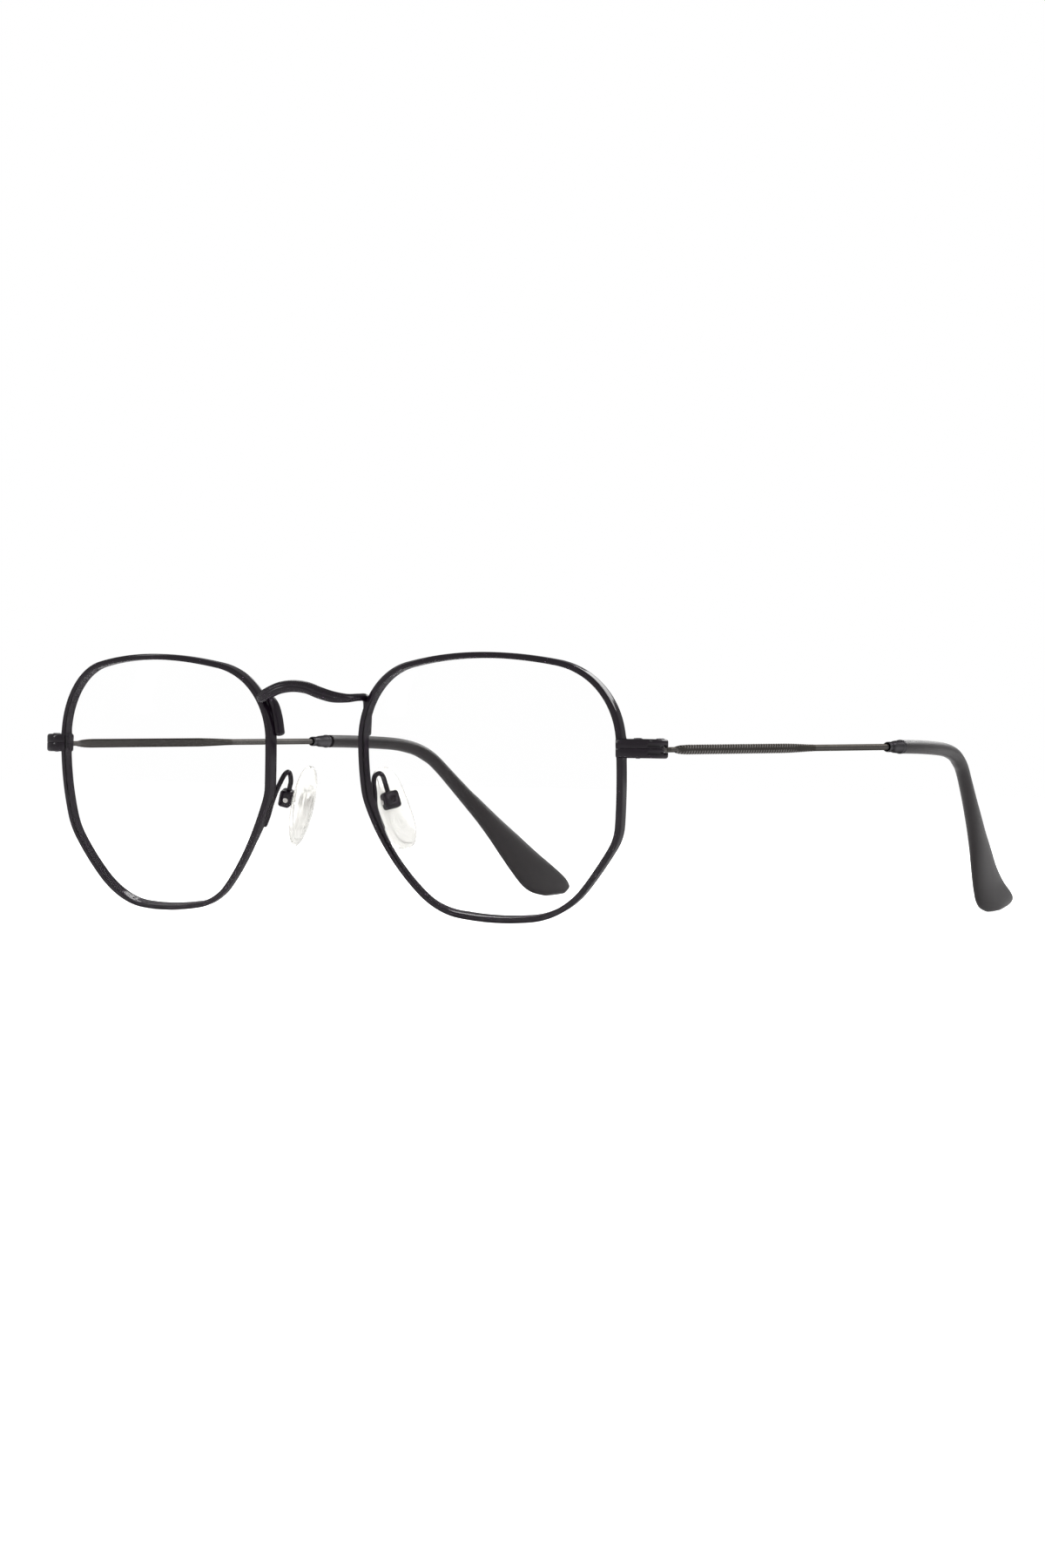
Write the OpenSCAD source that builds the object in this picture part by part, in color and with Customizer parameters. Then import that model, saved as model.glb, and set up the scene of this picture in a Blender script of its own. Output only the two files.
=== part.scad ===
// Metal-framed glasses with clear lenses, rocking nose pads and folding temples.
// Millimetres. The glasses stand on their lower rims and temple tips at Z = 0.
// +X is the wearer's left, +Y runs back along the temples, +Z is up.

/* [Lens shape] */
// Distance between the centres of the two lenses
lens_span = 72; // [70:0.5:76]
// Lens centre to the rim line, towards the temple
side_temple = 25.3; // [25:0.1:26]
// Lens centre to the rim line, at the top
side_top = 21.9; // [21.5:0.1:22.6]
// Lens centre to the rim line, towards the nose
side_nose = 25.1; // [24.8:0.1:25.6]
// Lens centre to the rim line, low on the nose side
side_nose_low = 23.3; // [23:0.1:23.8]
// Lens centre to the rim line, at the bottom
side_bottom = 23.1; // [22.8:0.1:23.8]
// Lens centre to the rim line, low on the temple side
side_temple_low = 24.9; // [24.6:0.1:25.4]

/* [Front] */
// Radius of the ball that the lenses and rims follow
base_r = 80; // [70:5:120]
// Lean of the front, its lower edge towards the cheeks
panto = 6.6; // [4:0.2:9]
// Turn of each lens towards the temple
wrap = 4.3; // [2:0.1:6]
// Thickness of the rim wire, seen from the front
rim_w = 0.8; // [0.75:0.05:1]
// Depth of the rim wire, front to back
rim_d = 1.75; // [1.5:0.05:2]
// Depth of the lens groove inside the rim
groove_depth = 0.35; // [0.3:0.05:0.45]
// Width of the lens groove
groove_w = 0.6; // [0.5:0.05:0.8]
// Thickness of a lens
lens_t = 1.4; // [1.2:0.1:1.8]
// Gap left all round between a lens and its rim
lens_clear = 0.03; // [0.02:0.01:0.06]

/* [Endpieces and hinges] */
// Height of the endpiece above the lens centre, along the lens
endpiece_v = 5.9; // [5:0.1:7]
// Height of the closed endpiece
endpiece_h = 3.2; // [3:0.1:3.6]
// Slit between the upper and lower jaw
jaw_slit = 0.1; // [0.05:0.05:0.2]
// Hinge axis outwards from the rim line
hinge_out = 4.85; // [4.6:0.1:5.2]
// Hinge axis back from the rim line
hinge_back = 4.5; // [4.4:0.05:5]
// Radius of the rounded hinge ears
ear_r = 1.3; // [1.2:0.05:1.4]
// Outer bend of the endpiece
endpiece_bend_r = 4.5; // [4:0.1:4.8]
// Drop of the hinge slot below the middle of the endpiece
hinge_drop = 0.15; // [0:0.05:0.25]
// Sideways tilt of both hinge axes, in degrees: the closed temples cross one above the other
hinge_tilt = 0.7; // [0.5:0.05:0.9]
// Height of the slot that holds the temple tongue
hinge_slot = 0.85; // [0.75:0.05:1]
// Play above and below the tongue
tongue_play = 0.05; // [0.03:0.01:0.08]
// Radius of the hinge screw's shank
hinge_pin_r = 0.5; // [0.4:0.05:0.55]
// Radial play of the temple on the hinge screw
pin_play = 0.05; // [0.03:0.01:0.08]
// Radius of a screw head on the endpiece
screw_head_r = 0.75; // [0.7:0.05:0.85]
// Height of a screw head on the endpiece
screw_head_h = 0.35; // [0.2:0.05:0.4]
// Depth to which the screw heads are sunk into the endpiece
head_sink = 0.2; // [0.1:0.05:0.25]
// Radius of the rim lock screw's shank
rim_pin_r = 0.45; // [0.35:0.05:0.5]
// Length of the rim lock screw that shows below the jaw
rim_pin_end = 0.5; // [0.2:0.1:0.8]
// Gap round a fixed screw in its hole
screw_fit = 0.02; // [0.01:0.01:0.04]

/* [Temples] */
// Rise of the temple from the hinge backwards, in degrees
temple_rise = 1.22; // [0.8:0.01:1.5]
// Radius of the neck behind the hinge
neck_r = 0.42; // [0.4:0.02:0.5]
// Where the flattened shaft starts, from the hinge axis
shaft_start = 4.4; // [3.9:0.1:4.8]
// Half height of the flattened shaft
shaft_r = 0.77; // [0.7:0.01:0.9]
// Thickness of the flattened shaft
shaft_flat = 1.1; // [1.06:0.02:1.3]
// Where the flattened shaft starts to narrow
shaft_full = 38.5; // [30:0.5:42]
// Where the flattened shaft has become round wire
shaft_end = 49; // [46:0.5:56]
// Radius of the round temple wire
wire_r = 0.53; // [0.5:0.01:0.55]
// Front of the cone-shaped collar, from the hinge axis
collar_start = 72.8; // [70:0.1:73.5]
// Front of the temple tip, from the hinge axis
tip_start = 78.6; // [78.4:0.1:78.8]
// Radius of the tip where it starts
tip_r = 1.24; // [1.15:0.01:1.3]
// Where the temple bends down, from the hinge axis
bend_at = 100; // [99:0.5:106]
// Inward run of the tip, per millimetre towards the back
tip_yaw = 0.15; // [0.1:0.005:0.2]
// Inward lean of the dropped part of the tip, per millimetre of drop
tip_lean = 0.2; // [0.1:0.01:0.3]
// Radius of the wire core inside the tip
core_r = 0.45; // [0.35:0.05:0.5]
// Gap round the core inside the tip
core_clear = 0.05; // [0.03:0.01:0.08]

/* [Nose pads] */
// Turn of the pads about the vertical, in degrees
pad_turn = 28; // [10:1:32]
// Spread of the pads' lower ends, in degrees
pad_splay = 13; // [10:1:18]
// Backward slope of the pads, in degrees
pad_pitch = 13; // [6:1:15]
// Half width of a pad
pad_half_w = 2.9; // [2.7:0.1:3.2]
// Height of a pad
pad_h = 14.4; // [13:0.2:15]
// Thickness of a pad at its middle
pad_t = 2.9; // [2.6:0.1:3.4]
// Radius of the domes that form the pad's two faces
pad_dome_r = 40; // [30:1:60]
// Height of the domes' crowns above the middle of the pad
pad_crown = 1.5; // [0:0.1:2]
// Gap between the pad and its box
pad_gap = 0.5; // [0.3:0.05:0.6]
// Radius of the pad arm wire
arm_r = 0.38; // [0.34:0.02:0.4]
// Width of the pad box along its screw
box_w = 2.7; // [2.5:0.1:3]
// Height of the pad box
box_h = 2.8; // [2.7:0.1:3.4]
// Depth of the box wall that faces away from the nose
box_wall = 0.35; // [0.3:0.05:0.8]
// Radius of the lug that turns in the box
lug_r = 0.62; // [0.6:0.02:0.8]
// Width of the lug along its screw
lug_w = 1.1; // [0.9:0.1:1.3]
// Gap between the lug and the walls of the box
lug_gap = 0.08; // [0.05:0.01:0.12]
// Radius of the pad screw's shank
pad_pin_r = 0.3; // [0.25:0.01:0.33]
// Radius of the pad screw's head
pad_head_r = 0.55; // [0.45:0.05:0.7]
// Height of the pad screw's head
pad_head_h = 0.25; // [0.2:0.05:0.4]

/* [Hidden] */
left = 1;
right = -1;
over = 0.2;
solder_gap = 0.02;

// Lens outline: six bowed sides, each a large arc whose middle faces side_dir, with rounded corners.
side_dir = [-5, 90, 187, 217, 267, 319];
side_dist = [side_temple, side_top, side_nose, side_nose_low, side_bottom, side_temple_low];
side_bow = [75, 70, 80, 45, 65, 70];
corner_r = [14, 13.5, 9, 13, 16, 9];
outline_reach = lens_span / 4;
side_steps = 4;
corner_steps = 7;

function heading(v) = atan2(v[1], v[0]);
function nearest_turn(a, ref) = ref + ((a - ref + 540) % 360) - 180;
function unit(v) = v / norm(v);
function side_centre(i) = (side_dist[i] - side_bow[i]) * [cos(side_dir[i]), sin(side_dir[i])];

// Centre of the corner arc that touches side i and the next side from inside
function corner_centre(i) =
    let (
        j = (i + 1) % 6,
        a = side_centre(i),
        b = side_centre(j),
        d = norm(b - a),
        e = (b - a) / d,
        ra = side_bow[i] - corner_r[i],
        rb = side_bow[j] - corner_r[i],
        x = (ra * ra - rb * rb + d * d) / (2 * d)
    ) a + x * e + sqrt(ra * ra - x * x) * [-e[1], e[0]];

function arc_points(c, r, a0, a1, n) =
    [for (k = [0:n - 1]) let (a = a0 + (a1 - a0) * k / n) c + r * [cos(a), sin(a)]];

// Closed outline at distance d outside the rim line
function lens_outline(d) = [
    for (i = [0:5])
        let (
            c = side_centre(i),
            k0 = corner_centre((i + 5) % 6),
            k1 = corner_centre(i),
            a0 = heading(k0 - c),
            a1 = nearest_turn(heading(k1 - c), a0),
            a2 = nearest_turn(heading(k1 - side_centre((i + 1) % 6)), a1)
        )
        each concat(
            arc_points(c, side_bow[i] + d, a0, a1, side_steps),
            arc_points(k1, corner_r[i] + d, a1, a2, corner_steps)
        )
];

// Place of a lens point (u to the temple, v up) from the middle of the front, on a ball of radius r
function front_point(u, v, r) =
    let (
        w = base_r - sqrt(r * r - u * u - v * v),
        x = u * cos(wrap) - w * sin(wrap),
        y = u * sin(wrap) + w * cos(wrap)
    ) [lens_span / 2 + x, y * cos(panto) - v * sin(panto), y * sin(panto) + v * cos(panto)];

// The lowest point of the rim stands on the ground
lens_z = -min([for (p = lens_outline(rim_w / 2)) front_point(p[0], p[1], base_r + rim_d / 2)[2]]);

// Rim line on the temple side, at the height of the endpiece
endpiece_u = lookup(endpiece_v, [for (p = lens_outline(0)) if (p[0] > 15) [p[1], p[0]]]);
rim_side = front_point(endpiece_u, endpiece_v, base_r);
hinge_x = rim_side[0] + hinge_out;
hinge_y = rim_side[1] + hinge_back;
endpiece_z = lens_z + rim_side[2];
hinge_z = endpiece_z - hinge_drop;
head_z = endpiece_z + endpiece_h / 2 - head_sink;
face_y = rim_side[1] - rim_d / 2 - 0.05;
screw_pos = [hinge_x - 1.9, hinge_y - 3.8];
rim_cut = [8, 8];
jaw_inside = 1.2;
jaw_behind = 0.4;
jaw_corner = [2.3, 1.5];
ear_neck = 1.7;
slot_r = ear_r + over;
tongue_r = ear_r - 0.1;
tongue_t = hinge_slot - 2 * tongue_play;
tongue_w = 1;
shoulder = [0.4, 1.5, 3.5];
shoulder_r = [0.7, 0.9];
neck_start = ear_r + 0.3;
neck_lap = 0.9;
screw_slot_w = 0.2;
screw_slot_floor = 0.45;

// Half of the gap between the two rim lines at the nose
nose_x = lens_span / 2 - side_nose;

// Bridge: half of its centre line from the middle to the end of the leg, from the middle of the front.
// Each row is X, Y, Z, half height and half depth of the bar, with X as a share of nose_x.
bridge_half = [
    [0, -4.9, 16.6, 0.98, 0.8],
    [0.266, -4.9, 16.3, 0.98, 0.8],
    [0.495, -4.7, 15.5, 0.98, 0.8],
    [0.706, -3.8, 14.8, 0.93, 0.8],
    [0.862, -2, 14.6, 0.74, 0.75],
    [0.954, 0, 14.8, 0.62, 0.7],
    [0.972, 1.7, 14.7, 0.72, 0.65],
    [0.945, 2.8, 13.4, 0.95, 0.65],
    [0.908, 3.2, 11.2, 1.1, 0.65],
    [0.881, 3.5, 8.6, 1.1, 0.6]
];
bridge_steps = 3;
bridge_sides = 16;

// Pad box and its screw axis, from the middle of the front
pad_pos = [nose_x + 0.55, 8.2, -2.8];
// Pad centre from the screw axis, in the pad's own turned frame
box_front = -0.72;
pad_centre = [box_front - pad_gap - pad_t / 2, 1.3, -0.9];
box_inner_x = lug_r + 2 * lug_gap;
box_inner_z = 1;
plate_r = 1.5;
plate_t = 0.8;
plate_h = 8.2;
post_h = 1;
core_fit = 0.02;

// Tip: ribs from its lower or front edge to its upper or back edge.
// Each row is lower Y, lower Z, upper Y, upper Z, thickness and inward slope, with Y counted from the bend.
tip_ribs = [
    [tip_start - bend_at, -tip_r, tip_start - bend_at, tip_r, 2 * tip_r, 0.13],
    [-15, -1.35, -15, 1.15, 2.5, 0.13],
    [-9.1, -1.55, -8.9, 0.95, 2.5, 0.13],
    [-3.6, -1.85, -3.4, 0.65, 2.5, 0.13],
    [-0.3, -2.3, 0.3, 0.2, 2.5, 0.13],
    [2.6, -3, 3.4, -0.5, 2.55, 0.13],
    [4.8, -4, 6.1, -1.6, 2.6, 0.13],
    [6.6, -5, 8.6, -3.2, 2.6, 0.13],
    [8.9, -7, 11.6, -5.9, 2.6, 0.13],
    [11.6, -9.8, 15.6, -9.5, 2.65, 0.13],
    [14.6, -13.1, 20, -13.1, 2.7, 0.13],
    [17.6, -16.5, 24.2, -16.5, 2.7, 0.13],
    [20.2, -19.9, 28.9, -20, 2.7, 0.13],
    [22.5, -23.3, 33.6, -23.5, 2.6, 0.13],
    [24.6, -26.3, 38.2, -26.5, 2.5, 0.11],
    [26.2, -28.4, 41.6, -28.6, 2.3, 0.07],
    [27.9, -30.2, 43, -29.9, 2, 0.04],
    [30.2, -31.5, 42.8, -31, 1.5, 0.04],
    [33.5, -32.23, 40.5, -32.03, 0.8, 0.05]
];
yaw_ramp = 14;
core_last = 12.5;
tip_step = 0.5;
wire_lap = 0.1;
tip_sides = 16;
core_sides = 10;

// Collar: radii at its mouth, front, back edge and groove, the lengths of its cone and body,
// and the depth of its mouth
mouth_r = 0.78;
mouth_lip = 0.07;
mouth_depth = 0.9;
collar_front_r = 1.1;
collar_back_r = 1.3;
collar_groove_r = 1.05;
collar_cone = 2.3;
collar_body = 5.3;
collar_edge = 0.15;

// Smooth curve through rows of numbers; s counts rows from the first
function row(rows, i) = rows[max(0, min(len(rows) - 1, i))];
function smooth(rows, s) =
    let (
        i = min(floor(s), len(rows) - 2),
        f = s - i,
        p0 = row(rows, i - 1),
        p1 = row(rows, i),
        p2 = row(rows, i + 1),
        p3 = row(rows, i + 2)
    ) p1 + f / 2 * (p2 - p0 + f * (2 * p0 - 5 * p1 + 4 * p2 - p3 + f * (3 * (p1 - p2) + p3 - p0)));

function xyz(p) = [p[0], p[1], p[2]];
function directions(path) =
    [for (i = [0:len(path) - 1]) unit(path[min(i + 1, len(path) - 1)] - path[max(i - 1, 0)])];

// Carries a cross direction along a path without twisting it
function carried(dirs, i, v) =
    let (w = unit(v - (v * dirs[i]) * dirs[i]))
    i == len(dirs) - 1 ? [w] : concat([w], carried(dirs, i + 1, w));

function oval(c, a, b, n) = [for (k = [0:n - 1]) let (t = 360 * k / n) c + cos(t) * a + sin(t) * b];

// Closed skin over rings of equal point counts
module skin(rings) {
    n = len(rings[0]);
    m = len(rings);
    sides = [
        for (i = [0:m - 2], k = [0:n - 1])
            let (a = i * n + k, b = i * n + (k + 1) % n)
            each [[a, b, b + n], [a, b + n, a + n]]
    ];
    first = [for (k = [1:n - 2]) [0, k + 1, k]];
    last = [for (k = [1:n - 2]) [(m - 1) * n, (m - 1) * n + k, (m - 1) * n + k + 1]];
    polyhedron([for (r = rings) each r], concat(sides, first, last));
}

// Rows along the whole bridge, from the right leg over the bar to the left leg
bridge_rows = concat(
    [for (i = [len(bridge_half) - 1:-1:1]) [for (k = [0:4]) k == 0 ? -bridge_half[i][0] : bridge_half[i][k]]],
    bridge_half
);
bridge_path = [
    for (s = [0:1 / bridge_steps:len(bridge_rows) - 1])
        let (p = smooth(bridge_rows, s)) [p[0] * nose_x, p[1], p[2], p[3], p[4]]
];
bridge_front = min([for (p = bridge_path) p[1] - p[4]]);

// Inward offset of the tip, at y along the temple and z above its line
function tip_run(t) = t < 0 ? 0 : t < yaw_ramp ? t * t / (2 * yaw_ramp) : t - yaw_ramp / 2;
function tip_x(y, z) = -tip_yaw * tip_run(y - tip_start) - tip_lean * max(0, -z);
function tip_rib(s) = let (p = smooth(tip_ribs, s)) [-p[5] * (p[2] - p[0]), p[2] - p[0], p[3] - p[1]];
function tip_mid(s) =
    let (p = smooth(tip_ribs, s), y = bend_at + p[0]) [tip_x(y, p[1]), y, p[1]] + tip_rib(s) / 2;
function tip_half_w(s) = norm(tip_rib(s)) / 2;
function tip_half_t(s) = smooth(tip_ribs, s)[4] / 2;
function tip_ring(s, half_w, half_t, n) =
    let (
        rib = unit(tip_rib(s)),
        s0 = max(0, s - 0.1),
        s1 = min(len(tip_ribs) - 1, s + 0.1),
        flat = unit(cross(rib, tip_mid(s1) - tip_mid(s0)))
    ) oval(tip_mid(s), half_w * rib, half_t * flat, n);
function shifted(ring, y) = [for (p = ring) p + [0, y, 0]];

// The model is centred front to back between the bridge and the ends of the tips
tip_back = max([for (s = [14:tip_step:18]) bend_at + smooth(tip_ribs, s)[2]]);
tip_back_z = -30;
length_back = hinge_y + tip_back * cos(temple_rise) - tip_back_z * sin(temple_rise);
shift_y = -(length_back + bridge_front) / 2;

// Turned frame of the pad, for points that other pieces meet
function turn_x(p, a) = [p[0], p[1] * cos(a) - p[2] * sin(a), p[1] * sin(a) + p[2] * cos(a)];
function turn_y(p, a) = [p[0] * cos(a) + p[2] * sin(a), p[1], p[2] * cos(a) - p[0] * sin(a)];
function turn_z(p, a) = [p[0] * cos(a) - p[1] * sin(a), p[0] * sin(a) + p[1] * cos(a), p[2]];
function pad_point(p) = pad_pos + turn_z(turn_y(turn_x(p, pad_pitch), -pad_splay), -pad_turn);

// Pad arm: soldered foot along the back of the rim, a loop, and the end on top of the box
arm_path = [
    [nose_x + 2.35, 4.1, -7.8],
    [nose_x + 1.4, 4, -5.9],
    [nose_x + 0.6, 3.9, -3.9],
    [nose_x - 0.1, 4.2, -1.7],
    [nose_x - 0.7, 4.8, 0.4],
    [nose_x - 1.05, 5.85, 1.5],
    [nose_x - 1.05, 6.7, 1.15],
    [nose_x - 0.6, 7.6, -0.1],
    pad_point([0, 0, box_h / 2 + 0.4]),
    pad_point([0, 0, box_h / 2 + core_fit])
];
arm_steps = 4;
arm_sides = 12;

module side(s) {
    translate([0, shift_y, 0])
        mirror([s < 0 ? 1 : 0, 0, 0])
            children();
}

module on_front() {
    translate([0, 0, lens_z])
        children();
}

module on_lens() {
    on_front()
        rotate([panto, 0, 0])
            translate([lens_span / 2, 0, 0])
                rotate([90, 0, 0])
                    rotate([0, wrap, 0])
                        children();
}

module on_pad() {
    on_front()
        translate(pad_pos)
            rotate([pad_pitch, -pad_splay, -pad_turn])
                children();
}

// Turned to the hinge axis of side s, which leans the same way on both sides
module on_hinge(s) {
    translate([hinge_x, hinge_y, hinge_z])
        rotate([0, s * hinge_tilt, 0])
            children();
}

module on_temple() {
    translate([hinge_x, hinge_y, hinge_z])
        rotate([temple_rise, 0, 0])
            children();
}

// Part of a ball-shaped sheet of thickness t inside the lens outline at distance d
module lens_sheet(d, t) {
    intersection() {
        translate([0, 0, -outline_reach])
            linear_extrude(2 * outline_reach)
                polygon(lens_outline(d));
        translate([0, 0, -base_r])
            difference() {
                sphere(base_r + t / 2, $fn = 180);
                sphere(base_r - t / 2, $fn = 180);
            }
    }
}

module groove() {
    on_lens()
        lens_sheet(groove_depth - rim_w / 2, groove_w);
}

// Solid wire of the rim, grown by g
module rim_wire(g) {
    on_lens()
        difference() {
            lens_sheet(rim_w / 2 + g, rim_d + 2 * g);
            translate([0, 0, -outline_reach - 1])
                linear_extrude(2 * outline_reach + 2)
                    polygon(lens_outline(-rim_w / 2 - g));
        }
}

module rim(s) {
    color("#1c1a1f")
        side(s)
            difference() {
                rim_wire(0);
                groove();
                translate([
                    rim_side[0] - rim_cut[0] / 2,
                    rim_side[1] - rim_cut[1] / 2,
                    endpiece_z - endpiece_h / 2
                ])
                    cube([rim_cut[0], rim_cut[1], endpiece_h]);
            }
}

module lens(s) {
    color([0.92, 0.95, 0.96, 0.3])
        side(s)
            on_lens()
                union() {
                    lens_sheet(-rim_w / 2 - lens_clear, lens_t);
                    lens_sheet(groove_depth - rim_w / 2 - lens_clear, groove_w - 2 * lens_clear);
                }
}

module bridge() {
    dirs = directions([for (p = bridge_path) xyz(p)]);
    tall = carried(dirs, 0, [0, 1, 0]);
    color("#232126")
        difference() {
            translate([0, shift_y, 0])
                on_front()
                    skin([
                        for (i = [0:len(bridge_path) - 1])
                            let (p = bridge_path[i])
                            oval(xyz(p), p[3] * tall[i], p[4] * cross(tall[i], dirs[i]), bridge_sides)
                    ]);
            side(left)
                rim_wire(solder_gap);
            side(right)
                rim_wire(solder_gap);
        }
}

// Plan of the endpiece: front face, outer bend, hinge ear and the inside corner
module endpiece_plan() {
    bend = [hinge_x + ear_r - endpiece_bend_r, face_y + endpiece_bend_r];
    polygon(concat(
        [[rim_side[0] - jaw_inside, face_y]],
        arc_points(bend, endpiece_bend_r, -90, 0, 12),
        [
            [hinge_x + ear_r, bend[1]],
            [hinge_x + ear_r, hinge_y],
            [hinge_x - ear_r, hinge_y],
            [hinge_x - ear_r, hinge_y - ear_neck],
            [rim_side[0] + jaw_corner[0], rim_side[1] + jaw_corner[1]],
            [rim_side[0] - jaw_inside, rim_side[1] + rim_d / 2 + jaw_behind]
        ]
    ));
    translate([hinge_x, hinge_y])
        circle(ear_r, $fn = 48);
}

// Hole for a screw, widened where its head is sunk; the origin lies under the head
module screw_hole(pin_r) {
    translate([0, 0, -endpiece_h - over])
        cylinder(h = endpiece_h + 2 * over, r = pin_r + screw_fit, $fn = 32);
    cylinder(h = head_sink + over, r = screw_head_r + screw_fit, $fn = 32);
}

// One jaw of side s, from its low face to its high face
module jaw(s, low, high) {
    difference() {
        translate([0, 0, low])
            linear_extrude(high - low)
                endpiece_plan();
        on_lens()
            translate([0, 0, -outline_reach])
                linear_extrude(2 * outline_reach)
                    polygon(lens_outline(-rim_w / 2));
        groove();
        on_hinge(s) {
            translate([0, 0, -hinge_slot / 2])
                cylinder(h = hinge_slot, r = slot_r, $fn = 48);
            translate([0, 0, head_z - hinge_z])
                screw_hole(hinge_pin_r);
        }
        translate([screw_pos[0], screw_pos[1], head_z])
            screw_hole(rim_pin_r);
    }
}

module endpiece_upper(s) {
    color("#17151a")
        side(s)
            jaw(s, endpiece_z + jaw_slit / 2, endpiece_z + endpiece_h / 2);
}

module endpiece_lower(s) {
    color("#17151a")
        side(s)
            jaw(s, endpiece_z - endpiece_h / 2, endpiece_z - jaw_slit / 2);
}

// Screw with a slotted head; the origin lies where its head meets the endpiece
module slotted_screw(pin_r, length, head_r, head_h) {
    difference() {
        union() {
            cylinder(h = head_h, r = head_r, $fn = 32);
            translate([0, 0, -length])
                cylinder(h = length + head_h / 2, r = pin_r, $fn = 32);
        }
        translate([-head_r - over, -screw_slot_w / 2, head_h * screw_slot_floor])
            cube([2 * (head_r + over), screw_slot_w, head_h]);
    }
}

module rim_screw(s) {
    color("#2e2c30")
        side(s)
            translate([screw_pos[0], screw_pos[1], head_z])
                slotted_screw(rim_pin_r, endpiece_h - head_sink + rim_pin_end, screw_head_r, screw_head_h);
}

module hinge_screw(s) {
    color("#2e2c30")
        side(s)
            on_hinge(s)
                translate([0, 0, head_z - hinge_z])
                    slotted_screw(hinge_pin_r, endpiece_h - head_sink, screw_head_r, screw_head_h);
}

module pad_arm(s) {
    path = [for (t = [0:1 / arm_steps:len(arm_path) - 1]) smooth(arm_path, t)];
    dirs = directions(path);
    across = carried(dirs, 0, [1, 0, 0]);
    color("#1f1d22")
        side(s)
            difference() {
                on_front()
                    skin([
                        for (i = [0:len(path) - 1])
                            oval(path[i], arm_r * across[i], arm_r * cross(across[i], dirs[i]), arm_sides)
                    ]);
                rim_wire(solder_gap);
            }
}

// Cylinder along the screw axis of the pad box
module along_y(y0, y1, r) {
    translate([0, y0, 0])
        rotate([-90, 0, 0])
            cylinder(h = y1 - y0, r = r, $fn = 32);
}

module pad_box(s) {
    color("#19171c")
        side(s)
            on_pad()
                difference() {
                    translate([box_front, -box_w / 2, -box_h / 2])
                        cube([box_inner_x + box_wall - box_front, box_w, box_h]);
                    translate([box_front - over, -lug_w / 2 - lug_gap, -box_inner_z])
                        cube([box_inner_x - box_front + over, lug_w + 2 * lug_gap, 2 * box_inner_z]);
                    along_y(-box_w / 2 - over, box_w / 2 + over, pad_pin_r + screw_fit);
                }
}

module pad_screw(s) {
    color("#c9c9cc")
        side(s)
            on_pad()
                translate([0, -box_w / 2, 0])
                    rotate([90, 0, 0])
                        slotted_screw(pad_pin_r, box_w, pad_head_r, pad_head_h);
}

// Upright stadium of height h and half width r, thickness t, facing along X
module stadium(r, h, t) {
    translate([-t / 2, 0, 0])
        rotate([90, 0, 90])
            linear_extrude(t)
                union() {
                    translate([0, h / 2 - r])
                        circle(r, $fn = 64);
                    translate([0, r - h / 2])
                        circle(r, $fn = 64);
                    square([2 * r, h - 2 * r], center = true);
                }
}

// Stiff insert of a pad, grown by g: a plate inside the pad and a post to the lug
module insert(g) {
    translate(pad_centre)
        stadium(plate_r + g, plate_h + 2 * g, plate_t + 2 * g);
    translate([pad_centre[0], -lug_w / 2 - g, -post_h / 2 - g])
        cube([-pad_centre[0], lug_w + 2 * g, post_h + 2 * g]);
}

module pad_core(s) {
    color([0.85, 0.87, 0.86, 0.8])
        side(s)
            on_pad()
                difference() {
                    union() {
                        insert(0);
                        along_y(-lug_w / 2, lug_w / 2, lug_r);
                    }
                    along_y(-lug_w, lug_w, pad_pin_r + pin_play);
                }
}

module nose_pad(s) {
    dome_x = pad_dome_r - pad_t / 2;
    pad_steps = 300;
    color([0.93, 0.94, 0.93, 0.55])
        side(s)
            on_pad()
                difference() {
                    translate(pad_centre)
                        intersection() {
                            stadium(pad_half_w, pad_h, pad_t + over);
                            translate([dome_x, 0, pad_crown])
                                sphere(pad_dome_r, $fn = pad_steps);
                            translate([-dome_x, 0, pad_crown])
                                sphere(pad_dome_r, $fn = pad_steps);
                        }
                    insert(core_fit);
                }
}

// Turned profile of the temple, radius against distance from the hinge axis
module turned(points) {
    rotate([-90, 0, 0])
        rotate_extrude($fn = 32)
            polygon(points);
}

module temple_wire(s) {
    wire_end = tip_start + wire_lap;
    color("#4a4744")
        side(s)
            union() {
                on_hinge(s)
                    difference() {
                        translate([0, 0, -tongue_t / 2])
                            linear_extrude(tongue_t)
                                union() {
                                    circle(tongue_r, $fn = 48);
                                    translate([-tongue_w / 2, 0])
                                        square([tongue_w, neck_start + neck_lap]);
                                }
                        translate([0, 0, -tongue_t])
                            cylinder(h = 2 * tongue_t, r = hinge_pin_r + pin_play, $fn = 32);
                    }
                on_temple()
                    intersection() {
                        turned([
                            [0, neck_start],
                            [neck_r, neck_start],
                            [neck_r, shaft_start],
                            [shoulder_r[0] * shaft_r, shaft_start + shoulder[0]],
                            [shoulder_r[1] * shaft_r, shaft_start + shoulder[1]],
                            [shaft_r, shaft_start + shoulder[2]],
                            [shaft_r, shaft_full],
                            [(shaft_r + wire_r) / 2, (shaft_full + shaft_end) / 2],
                            [wire_r, shaft_end],
                            [wire_r, wire_end],
                            [0, wire_end]
                        ]);
                        translate([-shaft_flat / 2, 0, -shaft_r - over])
                            cube([shaft_flat, wire_end + over, 2 * (shaft_r + over)]);
                    }
                on_temple()
                    skin([for (t = [0:tip_step:core_last]) tip_ring(t, core_r, core_r, core_sides)]);
            }
}

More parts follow.
